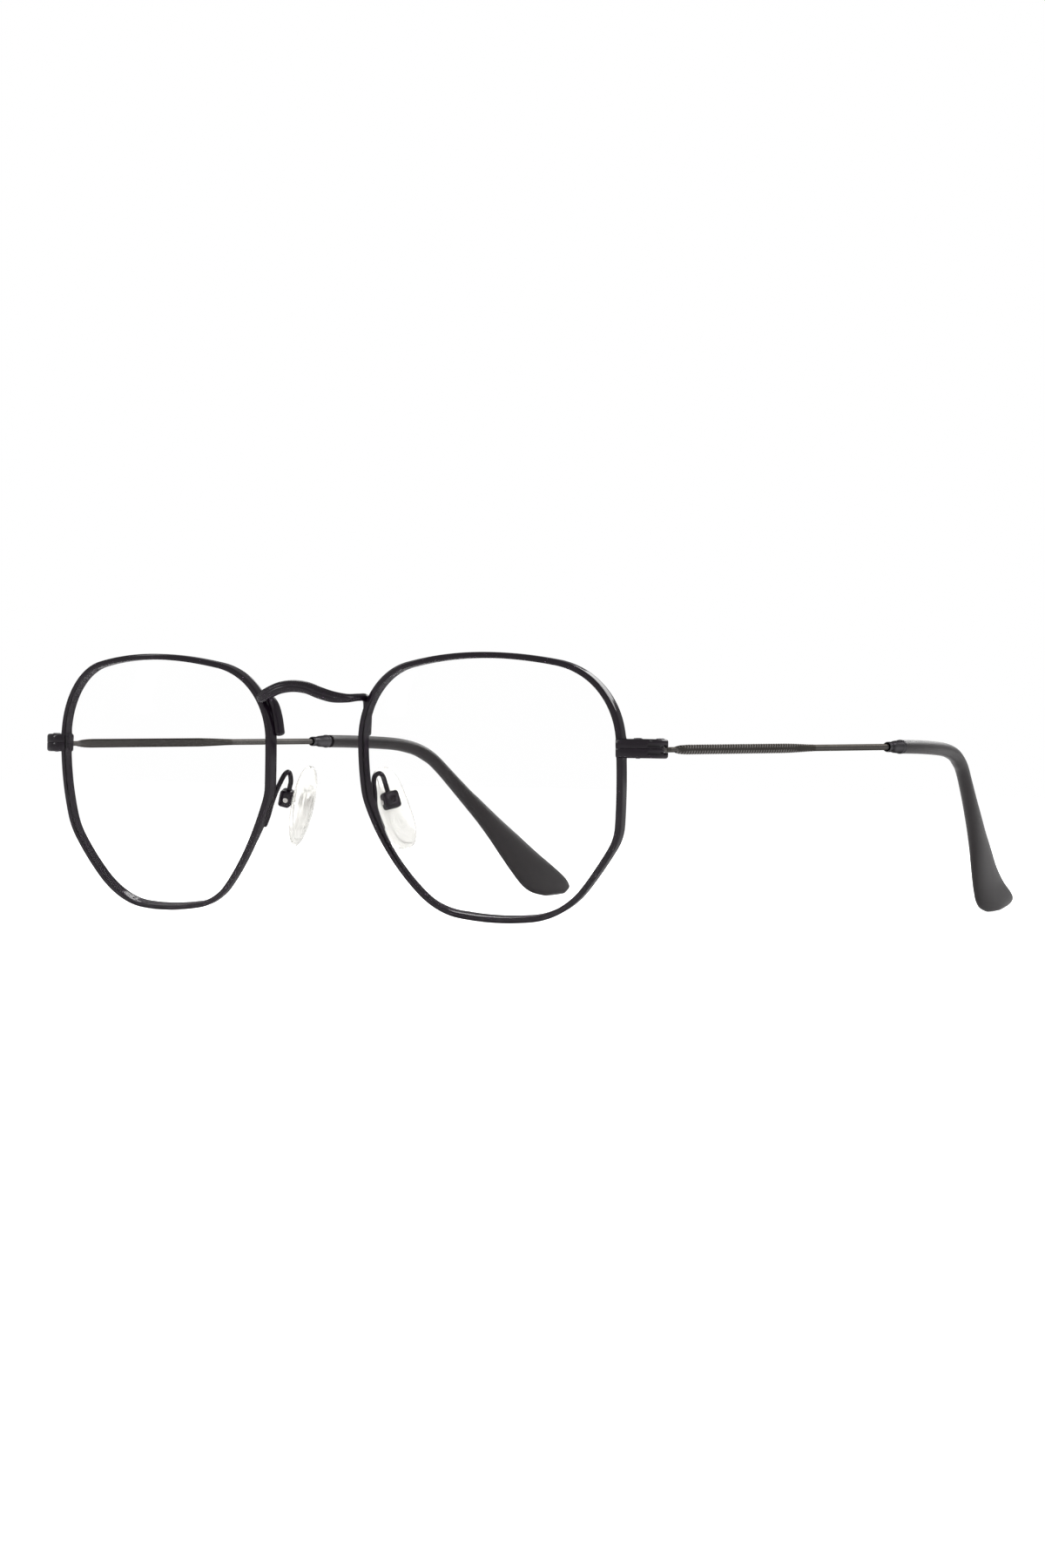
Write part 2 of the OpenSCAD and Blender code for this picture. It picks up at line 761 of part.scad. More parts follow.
module tip_collar(s) {
    color("#141317")
        side(s)
            on_temple()
                difference() {
                    turned([
                        [0, collar_start],
                        [mouth_r, collar_start],
                        [collar_front_r, collar_start + collar_cone],
                        [collar_back_r, collar_start + collar_body],
                        [collar_groove_r, collar_start + collar_body + collar_edge],
                        [collar_groove_r, tip_start],
                        [0, tip_start]
                    ]);
                    turned([
                        [0, collar_start - over],
                        [mouth_r - mouth_lip, collar_start - over],
                        [mouth_r - mouth_lip, collar_start],
                        [wire_r + screw_fit, collar_start + mouth_depth],
                        [wire_r + screw_fit, tip_start + over],
                        [0, tip_start + over]
                    ]);
                }
}

// One closed skin: up the bore from its blind end, out round the mouth, back along the outside
module temple_tip(s) {
    bore_r = core_r + core_clear;
    socket_r = (wire_r + screw_fit) / cos(180 / tip_sides);
    socket = tip_ring(0, socket_r, socket_r, tip_sides);
    color("#2b292b")
        side(s)
            on_temple()
                skin(concat(
                    [for (t = [core_last:-tip_step:tip_step]) tip_ring(t, bore_r, bore_r, tip_sides)],
                    [shifted(tip_ring(0, bore_r, bore_r, tip_sides), wire_lap + screw_fit)],
                    [shifted(socket, wire_lap + screw_fit), socket],
                    [
                        for (t = [0:tip_step:len(tip_ribs) - 1])
                            tip_ring(t, tip_half_w(t), tip_half_t(t), tip_sides)
                    ]
                ));
}

rim(right);  // rim_right
rim(left);  // rim_left
lens(right);  // lens_right
lens(left);  // lens_left
bridge();
endpiece_upper(right);  // endpiece_upper_right
endpiece_upper(left);  // endpiece_upper_left
endpiece_lower(right);  // endpiece_lower_right
endpiece_lower(left);  // endpiece_lower_left
rim_screw(right);  // rim_screw_right
rim_screw(left);  // rim_screw_left
hinge_screw(right);  // hinge_screw_right
hinge_screw(left);  // hinge_screw_left
pad_arm(right);  // pad_arm_right
pad_arm(left);  // pad_arm_left
pad_box(right);  // pad_box_right
pad_box(left);  // pad_box_left
pad_screw(right);  // pad_screw_right
pad_screw(left);  // pad_screw_left
nose_pad(right);  // nose_pad_right
nose_pad(left);  // nose_pad_left
pad_core(right);  // pad_core_right
pad_core(left);  // pad_core_left
temple_wire(right);  // temple_wire_right
temple_wire(left);  // temple_wire_left
tip_collar(right);  // tip_collar_right
tip_collar(left);  // tip_collar_left
temple_tip(right);  // temple_tip_right
temple_tip(left);  // temple_tip_left
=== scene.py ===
# %% [markdown]
# # A pair of wire-framed glasses, built piece by piece
# The glasses stand on their lower rims and on the ends of their temples. Every piece is made
# in millimetres, in the left half of the glasses, where left is the wearer's left. The last
# step of each piece mirrors it where needed and puts it into the frame, which is in metres.

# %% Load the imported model
import bmesh
import bpy
from math import atan2, ceil, copysign, cos, exp, hypot, pi, radians, sin, sqrt, tan
from mathutils import Matrix, Vector


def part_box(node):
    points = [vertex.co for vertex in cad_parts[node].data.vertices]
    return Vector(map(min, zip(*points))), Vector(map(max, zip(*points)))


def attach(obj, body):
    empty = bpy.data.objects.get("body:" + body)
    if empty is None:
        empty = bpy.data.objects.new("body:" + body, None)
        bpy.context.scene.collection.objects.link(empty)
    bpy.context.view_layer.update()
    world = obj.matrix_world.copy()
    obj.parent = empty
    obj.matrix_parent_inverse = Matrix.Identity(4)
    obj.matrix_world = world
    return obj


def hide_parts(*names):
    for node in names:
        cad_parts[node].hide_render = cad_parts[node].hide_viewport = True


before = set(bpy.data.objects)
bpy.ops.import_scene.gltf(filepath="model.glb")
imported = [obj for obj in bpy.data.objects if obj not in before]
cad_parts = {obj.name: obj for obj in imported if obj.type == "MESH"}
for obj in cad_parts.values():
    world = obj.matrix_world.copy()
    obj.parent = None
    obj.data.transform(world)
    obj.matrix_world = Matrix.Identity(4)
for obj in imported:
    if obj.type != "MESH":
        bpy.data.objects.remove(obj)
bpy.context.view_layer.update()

# %% [markdown]
# ## Sizes
# These are the sizes of the real parts, the same as in the part's source. The lens outline
# is six shallow arcs joined by six rounder ones, so a handful of radii gives the whole rim.
# Each side has its distance from the middle of the lens, its direction and its radius.

# %% Sizes in millimetres
MM = 0.001
LEFT, RIGHT = 1, -1
SIDE_NAMES = {LEFT: "left", RIGHT: "right"}

# The outline, the ball shape and the set of a lens
LENS_SPAN = 72.0
SIDE_DIST = (25.3, 21.9, 25.1, 23.3, 23.1, 24.9)
SIDE_DIR = (-5, 90, 187, 217, 267, 319)
SIDE_BOW = (75, 70, 80, 45, 65, 70)
CORNER_R = (14, 13.5, 9, 13, 16, 9)
OUTLINE_STEP = 0.4
BASE_R = 80.0
PANTO = radians(6.6)
WRAP = radians(4.3)
RIM_W, RIM_D = 0.8, 1.75
LENS_T, LENS_CLEAR = 1.4, 0.03
GROOVE_DEPTH, GROOVE_W = 0.35, 0.6
NOSE_X = LENS_SPAN / 2 - SIDE_DIST[2]

# The outer side of the left rim at its endpiece, and the hinge as steps from there
RIM_SIDE = Vector((61.0519, 5.5630, 6.5830))
HINGE_OUT, HINGE_BACK, HINGE_DROP = 4.85, 4.5, 0.15
HINGE_TILT = radians(0.7)
ENDPIECE_H = 3.2
TEMPLE_RISE = radians(1.22)
# The axis that the left pad rocks on, and its turn out of the straight
PAD_POS = Vector((NOSE_X + 0.55, 8.2, -2.8))
PAD_TURN, PAD_SPLAY, PAD_PITCH = radians(28), radians(13), radians(13)
print("lens centres", LENS_SPAN, "mm apart, inner sides", round(2 * NOSE_X, 2), "mm apart")

# %% [markdown]
# ## From flat drawings to places in the frame
# A lens is a piece of a ball, so a point of its flat outline is pushed back onto the ball,
# turned by the wrap and the tilt of the front, and moved out to its side. The pads and the
# temples have small frames of their own in the same way.

# %% Places on the lens, the pad and the temple
def side_centre(i):
    """Centre of the shallow arc that makes side i of the lens."""
    reach = SIDE_DIST[i] - SIDE_BOW[i]
    return Vector((reach * cos(radians(SIDE_DIR[i])), reach * sin(radians(SIDE_DIR[i]))))


def corner_centre(i):
    """Centre of the corner arc that touches sides i and i + 1 from inside."""
    j = (i + 1) % len(SIDE_DIR)
    a, b = side_centre(i), side_centre(j)
    ra, rb = SIDE_BOW[i] - CORNER_R[i], SIDE_BOW[j] - CORNER_R[i]
    d = (b - a).length
    e = (b - a) / d
    along = (ra * ra - rb * rb + d * d) / (2 * d)
    return a + along * e + sqrt(ra * ra - along * along) * Vector((-e.y, e.x))


def lens_outline(grow, spacing=OUTLINE_STEP):
    """Points (u, v) round a lens, grown outwards; the count doesn't depend on grow."""
    points = []
    count = len(SIDE_DIR)
    for i in range(count):
        start, end = corner_centre((i - 1) % count), corner_centre(i)
        side, after = side_centre(i), side_centre((i + 1) % count)
        for centre, radius, a, b in (
            (side, SIDE_BOW[i], start - side, end - side),
            (end, CORNER_R[i], end - side, end - after),
        ):
            first = atan2(a.y, a.x)
            turn = (atan2(b.y, b.x) - first + pi) % (2 * pi) - pi
            steps = max(2, ceil(abs(turn) * radius / spacing))
            for k in range(steps):
                t = first + turn * k / steps
                reach = radius + grow
                points.append((centre.x + reach * cos(t), centre.y + reach * sin(t)))
    return points


def front_turned(x, y, z):
    """Turns a direction or point of the lens frame by the wrap and the tilt of the front."""
    x, y = x * cos(WRAP) - y * sin(WRAP), x * sin(WRAP) + y * cos(WRAP)
    return Vector((x, y * cos(PANTO) - z * sin(PANTO), y * sin(PANTO) + z * cos(PANTO)))


LENS_MIDDLE = Vector((LENS_SPAN / 2, 0, 0))


def front_point(u, v, radius):
    """Point (u, v) of the flat outline, pushed back onto a ball of the given radius."""
    back = BASE_R - sqrt(radius * radius - u * u - v * v)
    return LENS_MIDDLE + front_turned(u, back, v)


LENS_Z = -min(front_point(u, v, BASE_R + RIM_D / 2).z for u, v in lens_outline(RIM_W / 2))
ENDPIECE_Z = RIM_SIDE.z + LENS_Z
HINGE = Vector((RIM_SIDE.x + HINGE_OUT, RIM_SIDE.y + HINGE_BACK, ENDPIECE_Z - HINGE_DROP))
hinge_lo, hinge_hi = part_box("hinge_screw_left")
SHIFT_Y = (hinge_lo.y + hinge_hi.y) / 2 / MM - HINGE.y
UP_TO_LENS = Vector((0, 0, LENS_Z))
FRONT_FRAME = Matrix.Translation(UP_TO_LENS)
PAD_FRAME = (
    Matrix.Translation(PAD_POS + UP_TO_LENS)
    @ Matrix.Rotation(-PAD_TURN, 4, "Z")
    @ Matrix.Rotation(-PAD_SPLAY, 4, "Y")
    @ Matrix.Rotation(PAD_PITCH, 4, "X")
)
TEMPLE_FRAME = Matrix.Translation(HINGE) @ Matrix.Rotation(TEMPLE_RISE, 4, "X")
print("lens centre height", round(LENS_Z, 3), "mm, hinge", [round(c, 3) for c in HINGE])
print("pieces move back by", round(SHIFT_Y, 3), "mm on their way into the frame")

# %% [markdown]
# ## Numbers along a path
# Most pieces follow a path, a profile or a circle. A Catmull-Rom curve passes smoothly
# through every row of a short table, so a table of places and sizes is enough for a bent
# wire that swells and narrows.

# %% Steps, turns and smooth rows
def smooth_row(rows, s):
    """Catmull-Rom value at s along rows of numbers."""
    last = len(rows) - 1
    i = min(int(s), last - 1)
    f = s - i
    p0, p1, p2, p3 = (rows[max(0, min(last, i + k))] for k in (-1, 0, 1, 2))
    return [
        b + f / 2 * (c - a + f * (2 * a - 5 * b + 4 * c - d + f * (3 * (b - c) + d - a)))
        for a, b, c, d in zip(p0, p1, p2, p3)
    ]


def spread(low, high, steps):
    """Evenly spread numbers from low to high, both ends among them."""
    return [low + (high - low) * k / steps for k in range(steps + 1)]


def smooth_rows(rows, steps):
    """Rows with steps smooth ones from each to the next."""
    return [smooth_row(rows, s) for s in spread(0, len(rows) - 1, steps * (len(rows) - 1))]


def full_turn(steps):
    """Evenly spread angles of one full turn."""
    return [2 * pi * k / steps for k in range(steps)]


def kept_to_one(x):
    """The number itself, or the nearer of 0 and 1 when it lies outside them."""
    return max(0.0, min(1.0, x))


def signed_power(x, power):
    """Power of a number's size with its own sign, which squares up a circle."""
    return copysign(abs(x) ** power, x)


print("half way from 1 to 4 in the squares:", smooth_row([(0,), (1,), (4,), (9,)], 1.5)[0])

# %% [markdown]
# ## Outlines and skins
# A skin over rings of points makes every turned, drawn or moulded form here. It gives its
# points and faces only, so a skin can become a piece of its own, a part of a larger piece,
# or a tool that cuts one.

# %% Outlines and skins
def domed_section(width, depth, power, steps=32):
    """Points of a rectangle with slightly domed sides and round corners, anticlockwise."""
    points = []
    for t in full_turn(steps):
        c, n = cos(t), sin(t)
        reach = (abs(c) ** power + abs(n) ** power) ** (-1 / power)
        points.append((width / 2 * c * reach, depth / 2 * n * reach))
    return points


def skin(rings, closed=False):
    """Points and faces of a skin over rings of equal counts, with its two ends filled."""
    n, m = len(rings[0]), len(rings)
    faces = []
    for i in range(m if closed else m - 1):
        for k in range(n):
            a, b = i * n, (i + 1) % m * n
            faces.append((a + k, a + (k + 1) % n, b + (k + 1) % n, b + k))
    if not closed:
        faces += [tuple(range(n)), tuple(range((m - 1) * n, m * n))]
    return [p for ring in rings for p in ring], faces


def extruded(plan, low, high):
    """Skin of a flat plan between two heights."""
    return skin([[Vector((x, y, z)) for x, y in plan] for z in (low, high)])


def block(lo, hi):
    """Skin of a box between two corners."""
    return extruded([(lo[0], lo[1]), (hi[0], lo[1]), (hi[0], hi[1]), (lo[0], hi[1])], lo[2], hi[2])


def quarter_round(radius, steps=5):
    """Height and inset of each layer that rounds an edge, from the flat face to the wall."""
    return [(radius * (1 - cos(t)), radius * (1 - sin(t))) for t in spread(0, pi / 2, steps)]


def pillowed(plan, low, high, round_low, round_high):
    """Skin of a flat plan between two heights, with its lower and upper edges rounded."""
    layers = [(low + rise, inset) for rise, inset in quarter_round(round_low)]
    layers += [(high - drop, inset) for drop, inset in reversed(quarter_round(round_high))]
    inward = []
    for i, (x, y) in enumerate(plan):
        before, here, after = (
            Vector(plan[i - 1]), Vector((x, y)), Vector(plan[(i + 1) % len(plan)])
        )
        a, b = (here - before).normalized(), (after - here).normalized()
        middle = Vector((-a.y - b.y, a.x + b.x)).normalized()
        inward.append(middle / max(0.6, middle.dot(Vector((-b.y, b.x)))))
    return skin([
        [Vector((x + n.x * inset, y + n.y * inset, z)) for (x, y), n in zip(plan, inward)]
        for z, inset in layers
    ])


def turned(profile, steps=48):
    """Skin of a profile of (radius, height) turned round the Z axis."""
    return skin([
        [Vector((r * cos(t), r * sin(t), z)) for t in full_turn(steps)] for r, z in profile
    ])


print("a turned disc has", len(turned([(1, 0), (1, 1)])[1]), "faces")

# %% [markdown]
# ## Solids
# The pieces are made in millimetres because Blender's bevels and booleans are steadier at
# that size than at a thousandth of it. Each modifier's result is baked into a plain mesh
# at once, so a piece has no live modifiers.

# %% Solids, cuts and edges
def placed(name, data):
    """New object in the scene that holds a mesh, a lamp or a camera."""
    obj = bpy.data.objects.new(name, data)
    bpy.context.scene.collection.objects.link(obj)
    return obj


def solid(name, shells, frame_matrix=Matrix()):
    """Object in millimetres made of closed skins, with its faces pointing outwards."""
    bm = bmesh.new()
    for points, faces in shells:
        made = [bm.verts.new(frame_matrix @ Vector(p)) for p in points]
        for face in faces:
            bm.faces.new([made[i] for i in face])
    bmesh.ops.recalc_face_normals(bm, faces=bm.faces)
    mesh = bpy.data.meshes.new(name)
    bm.to_mesh(mesh)
    bm.free()
    return placed(name, mesh)


def baked(obj):
    """Turns the result of an object's modifiers into its plain mesh."""
    bpy.context.view_layer.update()
    evaluated = obj.evaluated_get(bpy.context.evaluated_depsgraph_get())
    mesh = bpy.data.meshes.new_from_object(evaluated)
    obj.modifiers.clear()
    old, obj.data = obj.data, mesh
    mesh.name = obj.name
    bpy.data.meshes.remove(old)
    return obj


def cut(obj, *shells, frame_matrix=Matrix()):
    """Takes closed skins out of an object."""
    for shell in shells:
        tool = solid("cutter", [shell], frame_matrix)
        boolean = obj.modifiers.new("cut", "BOOLEAN")
        boolean.operation = "DIFFERENCE"
        boolean.solver = "EXACT"
        boolean.object = tool
        baked(obj)
        bpy.data.objects.remove(tool)
    return obj


def softened(obj, width, segments=2, angle=35):
    """Rounds the sharp edges of an object, as tumbling and lacquer do."""
    bevel = obj.modifiers.new("soft edges", "BEVEL")
    bevel.width = width
    bevel.segments = segments
    bevel.limit_method = "ANGLE"
    bevel.angle_limit = radians(angle)
    return baked(obj)


def joined(obj, *others):
    """Adds the meshes of other objects to an object and removes them."""
    pieces = [obj, *others]
    with bpy.context.temp_override(
        active_object=obj, object=obj, selected_editable_objects=pieces, selected_objects=pieces
    ):
        bpy.ops.object.join()
    return obj


def settled(obj, material, side=LEFT, sharp=40):
    """Mirrors a piece to its side, moves it into the frame in metres and shades it smooth."""
    mesh = obj.data
    to_metres = Matrix.Diagonal((side * MM, MM, MM, 1))
    mesh.transform(to_metres @ Matrix.Translation((0, SHIFT_Y, 0)))
    if side == RIGHT:
        mesh.flip_normals()
    bm = bmesh.new()
    bm.from_mesh(mesh)
    for face in bm.faces:
        face.smooth = True
    for edge in bm.edges:
        edge.smooth = len(edge.link_faces) == 2 and edge.calc_face_angle(0) < radians(sharp)
    bm.to_mesh(mesh)
    bm.free()
    mesh.materials.clear()
    mesh.materials.append(material)
    return obj


def fitted(obj, body, slot, *nodes):
    """Makes a piece ride on its body and stand for its CAD nodes; the finish slot is not used."""
    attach(obj, body)
    if nodes:
        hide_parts(*nodes)
    print(obj.name, "on", body, len(obj.data.polygons), "faces")


print("one unit of a piece's mesh becomes", MM, "m in the frame")

# %% [markdown]
# ## Finishes
# Each finish starts from a real material: black lacquer over metal, satin grey plating,
# coated clear plastic, silicone and so on. Colours are given as sRGB hex and turned to the
# linear values that the shader works with. Patterns read object coordinates in metres, so
# a grain of g millimetres has a scale of 1000 / g.

# %% Colour and node helpers
def colour(code):
    """Linear colour of an sRGB hex code."""
    parts = [int(code[i:i + 2], 16) / 255 for i in (1, 3, 5)]
    linear = (c / 12.92 if c <= 0.04045 else ((c + 0.055) / 1.055) ** 2.4 for c in parts)
    return (*linear, 1.0)


def add(tree, kind, settings=None, inputs=None):
    """Adds a node with its settings; an input is a value or the socket that feeds it."""
    node = tree.nodes.new(kind)
    for key, value in (settings or {}).items():
        setattr(node, key, value)
    for key, value in (inputs or {}).items():
        if isinstance(value, bpy.types.NodeSocket):
            tree.links.new(value, node.inputs[key])
        else:
            node.inputs[key].default_value = value
    return node


def finish(name, **values):
    """New material with a Principled shader; gives the material, its tree and its shader."""
    material = bpy.data.materials.new(name)
    material.use_nodes = True
    tree = material.node_tree
    shader = tree.nodes["Principled BSDF"]
    for key, value in values.items():
        shader.inputs[key.replace("_", " ")].default_value = value
    return material, tree, shader


def feed(tree, shader, **sockets):
    """Links sockets to the shader's inputs of the same names."""
    for key, socket in sockets.items():
        tree.links.new(socket, shader.inputs[key.replace("_", " ")])


def clouded(tree, grain, detail, dark, light):
    """Clouds of a grain in millimetres; gives their coordinates, their noise and their tone."""
    spot = add(tree, "ShaderNodeTexCoord").outputs["Object"]
    cloud = add(tree, "ShaderNodeTexNoise", inputs={
        "Vector": spot, "Scale": 1000 / grain, "Detail": detail,
    }).outputs["Fac"]
    tone = add(tree, "ShaderNodeMix", {"data_type": "RGBA"}, {
        0: cloud, 6: colour(dark), 7: colour(light),
    }).outputs[2]
    return spot, cloud, tone


print("sRGB mid grey is", round(colour("#808080")[0], 3), "in linear light")

# %% [markdown]
# ### Black lacquer
# The rims, the bridge and the endpieces are nickel alloy, polished and sprayed with a black
# stoving lacquer. The lacquer is a glossy clear skin over a slightly purple black, and it
# never levels perfectly: a faint orange peel about half a millimetre across breaks its
# reflections. A clear coat gives the gloss. Real lacquer has an index of 1.5, at which the
# round edges of so thin a wire would drown in the reflection of the white room. A thinner
# coat with a higher index keeps them black and its highlights crisp.

# %% Black lacquer
def black_lacquer():
    material, tree, shader = finish(
        "black_stoving_lacquer", Metallic=0.0, Specular_IOR_Level=0.0,
        Coat_Weight=0.19, Coat_Roughness=0.1, Coat_IOR=1.8,
    )
    spot, cloud, tone = clouded(tree, 3.0, 3.0, "#130c13", "#1e1620")
    rough = add(tree, "ShaderNodeMapRange", inputs={
        "Value": cloud, "To Min": 0.24, "To Max": 0.38,
    })
    peel = add(tree, "ShaderNodeTexNoise", inputs={
        "Vector": spot, "Scale": 1000 / 0.5, "Detail": 2.0,
    })
    bump = add(tree, "ShaderNodeBump", inputs={
        "Height": peel.outputs["Fac"], "Strength": 0.5, "Distance": 0.000002,
    })
    feed(
        tree, shader, Base_Color=tone, Roughness=rough.outputs["Result"],
        Normal=bump.outputs["Normal"], Coat_Normal=bump.outputs["Normal"],
    )
    return material


LACQUER = black_lacquer()
print("made", LACQUER.name)

# %% [markdown]
# ### Satin grey plating
# The temples are drawn steel wire with a dark grey plating. Drawing leaves fine lines along
# the wire, here 0.12 mm apart across it and 4 mm long, and the plating is a metal, so it has
# a metallic shader with the default index of refraction. A grey tint of the reflection keeps
# the slanting flanks of the wire from flashing white. The milled teeth take a paler plating,
# and the shaft between them is painted darker, a painted shade where little light gets there.

# %% Satin grey plating
LINE_GAP, LINE_LENGTH = 0.12, 4.0


def satin_plating(name, dark, light):
    material, tree, shader = finish(name, Metallic=1.0, Specular_Tint=colour("#939392"))
    spot, _, tone = clouded(tree, 5.0, 2.0, dark, light)
    stretched = add(tree, "ShaderNodeMapping", inputs={
        "Vector": spot, "Scale": (1000 / LINE_GAP, 1000 / LINE_LENGTH, 1000 / LINE_GAP),
    })
    lines = add(tree, "ShaderNodeTexNoise", inputs={
        "Vector": stretched.outputs["Vector"], "Scale": 1.0, "Detail": 2.0,
    })
    rough = add(tree, "ShaderNodeMapRange", inputs={
        "Value": lines.outputs["Fac"], "To Min": 0.3, "To Max": 0.46,
    })
    bump = add(tree, "ShaderNodeBump", inputs={
        "Height": lines.outputs["Fac"], "Strength": 0.4, "Distance": 0.000008,
    })
    feed(
        tree, shader, Base_Color=tone, Roughness=rough.outputs["Result"],
        Normal=bump.outputs["Normal"],
    )
    return material


PLATING = satin_plating("satin_grey_plated_steel", "#464443", "#545250")
GROOVE_SHADE_PLATING = satin_plating("plating_dark_in_grooves", "#3a3836", "#454341")
PALE_TOOTH_PLATING = satin_plating("plating_rubbed_on_crests", "#625f5e", "#7a7775")
COLLAR_PLATING = satin_plating("gunmetal_collar_plating", "#3c3b3d", "#4b4a4c")
print("made", PLATING.name, GROOVE_SHADE_PLATING.name, PALE_TOOTH_PLATING.name, COLLAR_PLATING.name)

# %% [markdown]
# ### Screws
# The hinge and rim screws are blackened steel, the pad screws are bright. Both are turned
# and tumbled, which leaves a fine cloudy satin. Their heads are under 2 mm wide, so one
# noise with a grain of 0.6 mm stands for it in tone and roughness.

# %% Screw steels
def turned_steel(name, dark, light):
    material, tree, shader = finish(name, Metallic=1.0)
    _, cloud, tone = clouded(tree, 0.6, 3.0, dark, light)
    rough = add(tree, "ShaderNodeMapRange", inputs={
        "Value": cloud, "To Min": 0.25, "To Max": 0.4,
    })
    feed(tree, shader, Base_Color=tone, Roughness=rough.outputs["Result"])
    return material


DARK_STEEL = turned_steel("blackened_screw_steel", "#322f34", "#4a464c")
BRIGHT_STEEL_AND_RIB_HIGHLIGHT = turned_steel("bright_screw_steel", "#8f8c8a", "#b4b1ae")
print("made", DARK_STEEL.name, BRIGHT_STEEL_AND_RIB_HIGHLIGHT.name)

# %% [markdown]
# ### Temple tips
# The tips are charcoal acetate, tumbled to a satin. Acetate reflects softly, and its colour
# clouds a little, about 8 mm across. The tumbling leaves a fine grain, drawn 0.8 mm wide.

# %% Charcoal acetate
def charcoal_acetate():
    material, tree, shader = finish(
        "satin_charcoal_acetate", Metallic=0.0, IOR=1.48, Specular_IOR_Level=0.12
    )
    spot, cloud, tone = clouded(tree, 8.0, 3.0, "#262324", "#2f2c2d")
    rough = add(tree, "ShaderNodeMapRange", inputs={
        "Value": cloud, "To Min": 0.4, "To Max": 0.5,
    })
    grain = add(tree, "ShaderNodeTexNoise", inputs={
        "Vector": spot, "Scale": 1000 / 0.8, "Detail": 2.0,
    })
    bump = add(tree, "ShaderNodeBump", inputs={
        "Height": grain.outputs["Fac"], "Strength": 0.4, "Distance": 0.000002,
    })
    feed(
        tree, shader, Base_Color=tone, Roughness=rough.outputs["Result"],
        Normal=bump.outputs["Normal"],
    )
    return material


ACETATE = charcoal_acetate()
print("made", ACETATE.name)

# %% [markdown]
# ### Clear parts
# The lenses are clear plastic with a coating that takes away most of the reflection. The
# shader has no such coating, so the index starts from 1.5 for the plastic and comes down
# until only a tenth of a percent is reflected. The pads are soft silicone, a little milky.
# Their index starts from 1.4 and is lowered until they look as pale as the real ones. Their
# stiff inserts are clear hard plastic that lies in the silicone, so their index is near the
# ratio of the two. Light that crosses an edge has a longer way through the plastic, so pads
# and inserts turn greyer where the surface slants away.

# %% Clear plastics
def clear_plastic(name, tint, edge, ior, rough_range, transmission, grain, depth):
    material, tree, shader = finish(name, IOR=ior, Transmission_Weight=transmission)
    _, cloud, tone = clouded(tree, grain, 2.0, *tint)
    slant = add(tree, "ShaderNodeLayerWeight", inputs={"Blend": 0.5})
    long_way = add(tree, "ShaderNodeMapRange", inputs={
        "Value": slant.outputs["Facing"], "From Min": 0.35, "From Max": 0.85,
    })
    deep = add(tree, "ShaderNodeMix", {"data_type": "RGBA"}, {
        0: long_way.outputs["Result"], 6: tone, 7: colour(edge),
    })
    rough = add(tree, "ShaderNodeMapRange", inputs={
        "Value": cloud, "To Min": rough_range[0], "To Max": rough_range[1],
    })
    bump = add(tree, "ShaderNodeBump", inputs={
        "Height": cloud, "Strength": 0.3, "Distance": depth,
    })
    feed(
        tree, shader, Base_Color=deep.outputs[2], Roughness=rough.outputs["Result"],
        Normal=bump.outputs["Normal"],
    )
    return material


def shaded_lens_edge():
    """The edge of a lens is ground dull; its near-black colour is a painted shade of the rim's
    groove.
    """
    material, tree, shader = finish("ground_lens_edge", Specular_IOR_Level=0.0)
    _, grit, tone = clouded(tree, 0.2, 2.0, "#121012", "#1e1c1e")
    rough = add(tree, "ShaderNodeMapRange", inputs={
        "Value": grit, "To Min": 0.7, "To Max": 0.9,
    })
    feed(tree, shader, Base_Color=tone, Roughness=rough.outputs["Result"])
    return material


LENS_PLASTIC = clear_plastic(
    "coated_clear_lens", ("#fefefe", "#ffffff"), "#ffffff",
    ior=1.06, rough_range=(0.0, 0.004), transmission=1.0, grain=20.0, depth=0.0000001,
)
LENS_EDGE_SHADE = shaded_lens_edge()
SILICONE = clear_plastic(
    "clear_silicone", ("#f7f6f2", "#fcfbf8"), "#a19f99",
    ior=1.2, rough_range=(0.1, 0.2), transmission=0.7, grain=1.5, depth=0.00001,
)
HARD_CLEAR = clear_plastic(
    "clear_hard_insert", ("#f4f4f3", "#fcfcfb"), "#c2c1bf",
    ior=1.05, rough_range=(0.05, 0.12), transmission=0.85, grain=1.0, depth=0.00001,
)
print("made", LENS_PLASTIC.name, LENS_EDGE_SHADE.name, SILICONE.name, HARD_CLEAR.name)

# %% [markdown]
# ## Stamps on points
# The milled teeth, the screws and the ribs in the pads are each one small shape that repeats.
# A Geometry Nodes tree stamps such a shape on every point of a mesh, turned and sized by the
# point's own attributes, so one tree serves them all. It ends in a plain mesh with a
# material, and a second tree, further down, ends in the same way.

# %% Tree that stamps an object on points
def tree_with(name, **inputs):
    """New tree that takes a geometry and the named inputs and gives a geometry back."""
    tree = bpy.data.node_groups.new(name, "GeometryNodeTree")
    sockets = {"Geometry": "NodeSocketGeometry", **inputs}
    for key, kind in sockets.items():
        tree.interface.new_socket(key, in_out="INPUT", socket_type=kind)
    tree.interface.new_socket("Geometry", in_out="OUTPUT", socket_type="NodeSocketGeometry")
    return tree, add(tree, "NodeGroupInput").outputs


def close_tree(tree, made, material):
    """Ends a tree in real geometry with a material."""
    real = add(tree, "GeometryNodeRealizeInstances", inputs={"Geometry": made})
    dressed = add(tree, "GeometryNodeSetMaterial", inputs={
        "Geometry": real.outputs["Geometry"], "Material": material,
    })
    add(tree, "NodeGroupOutput", inputs={"Geometry": dressed.outputs["Geometry"]})
    return tree


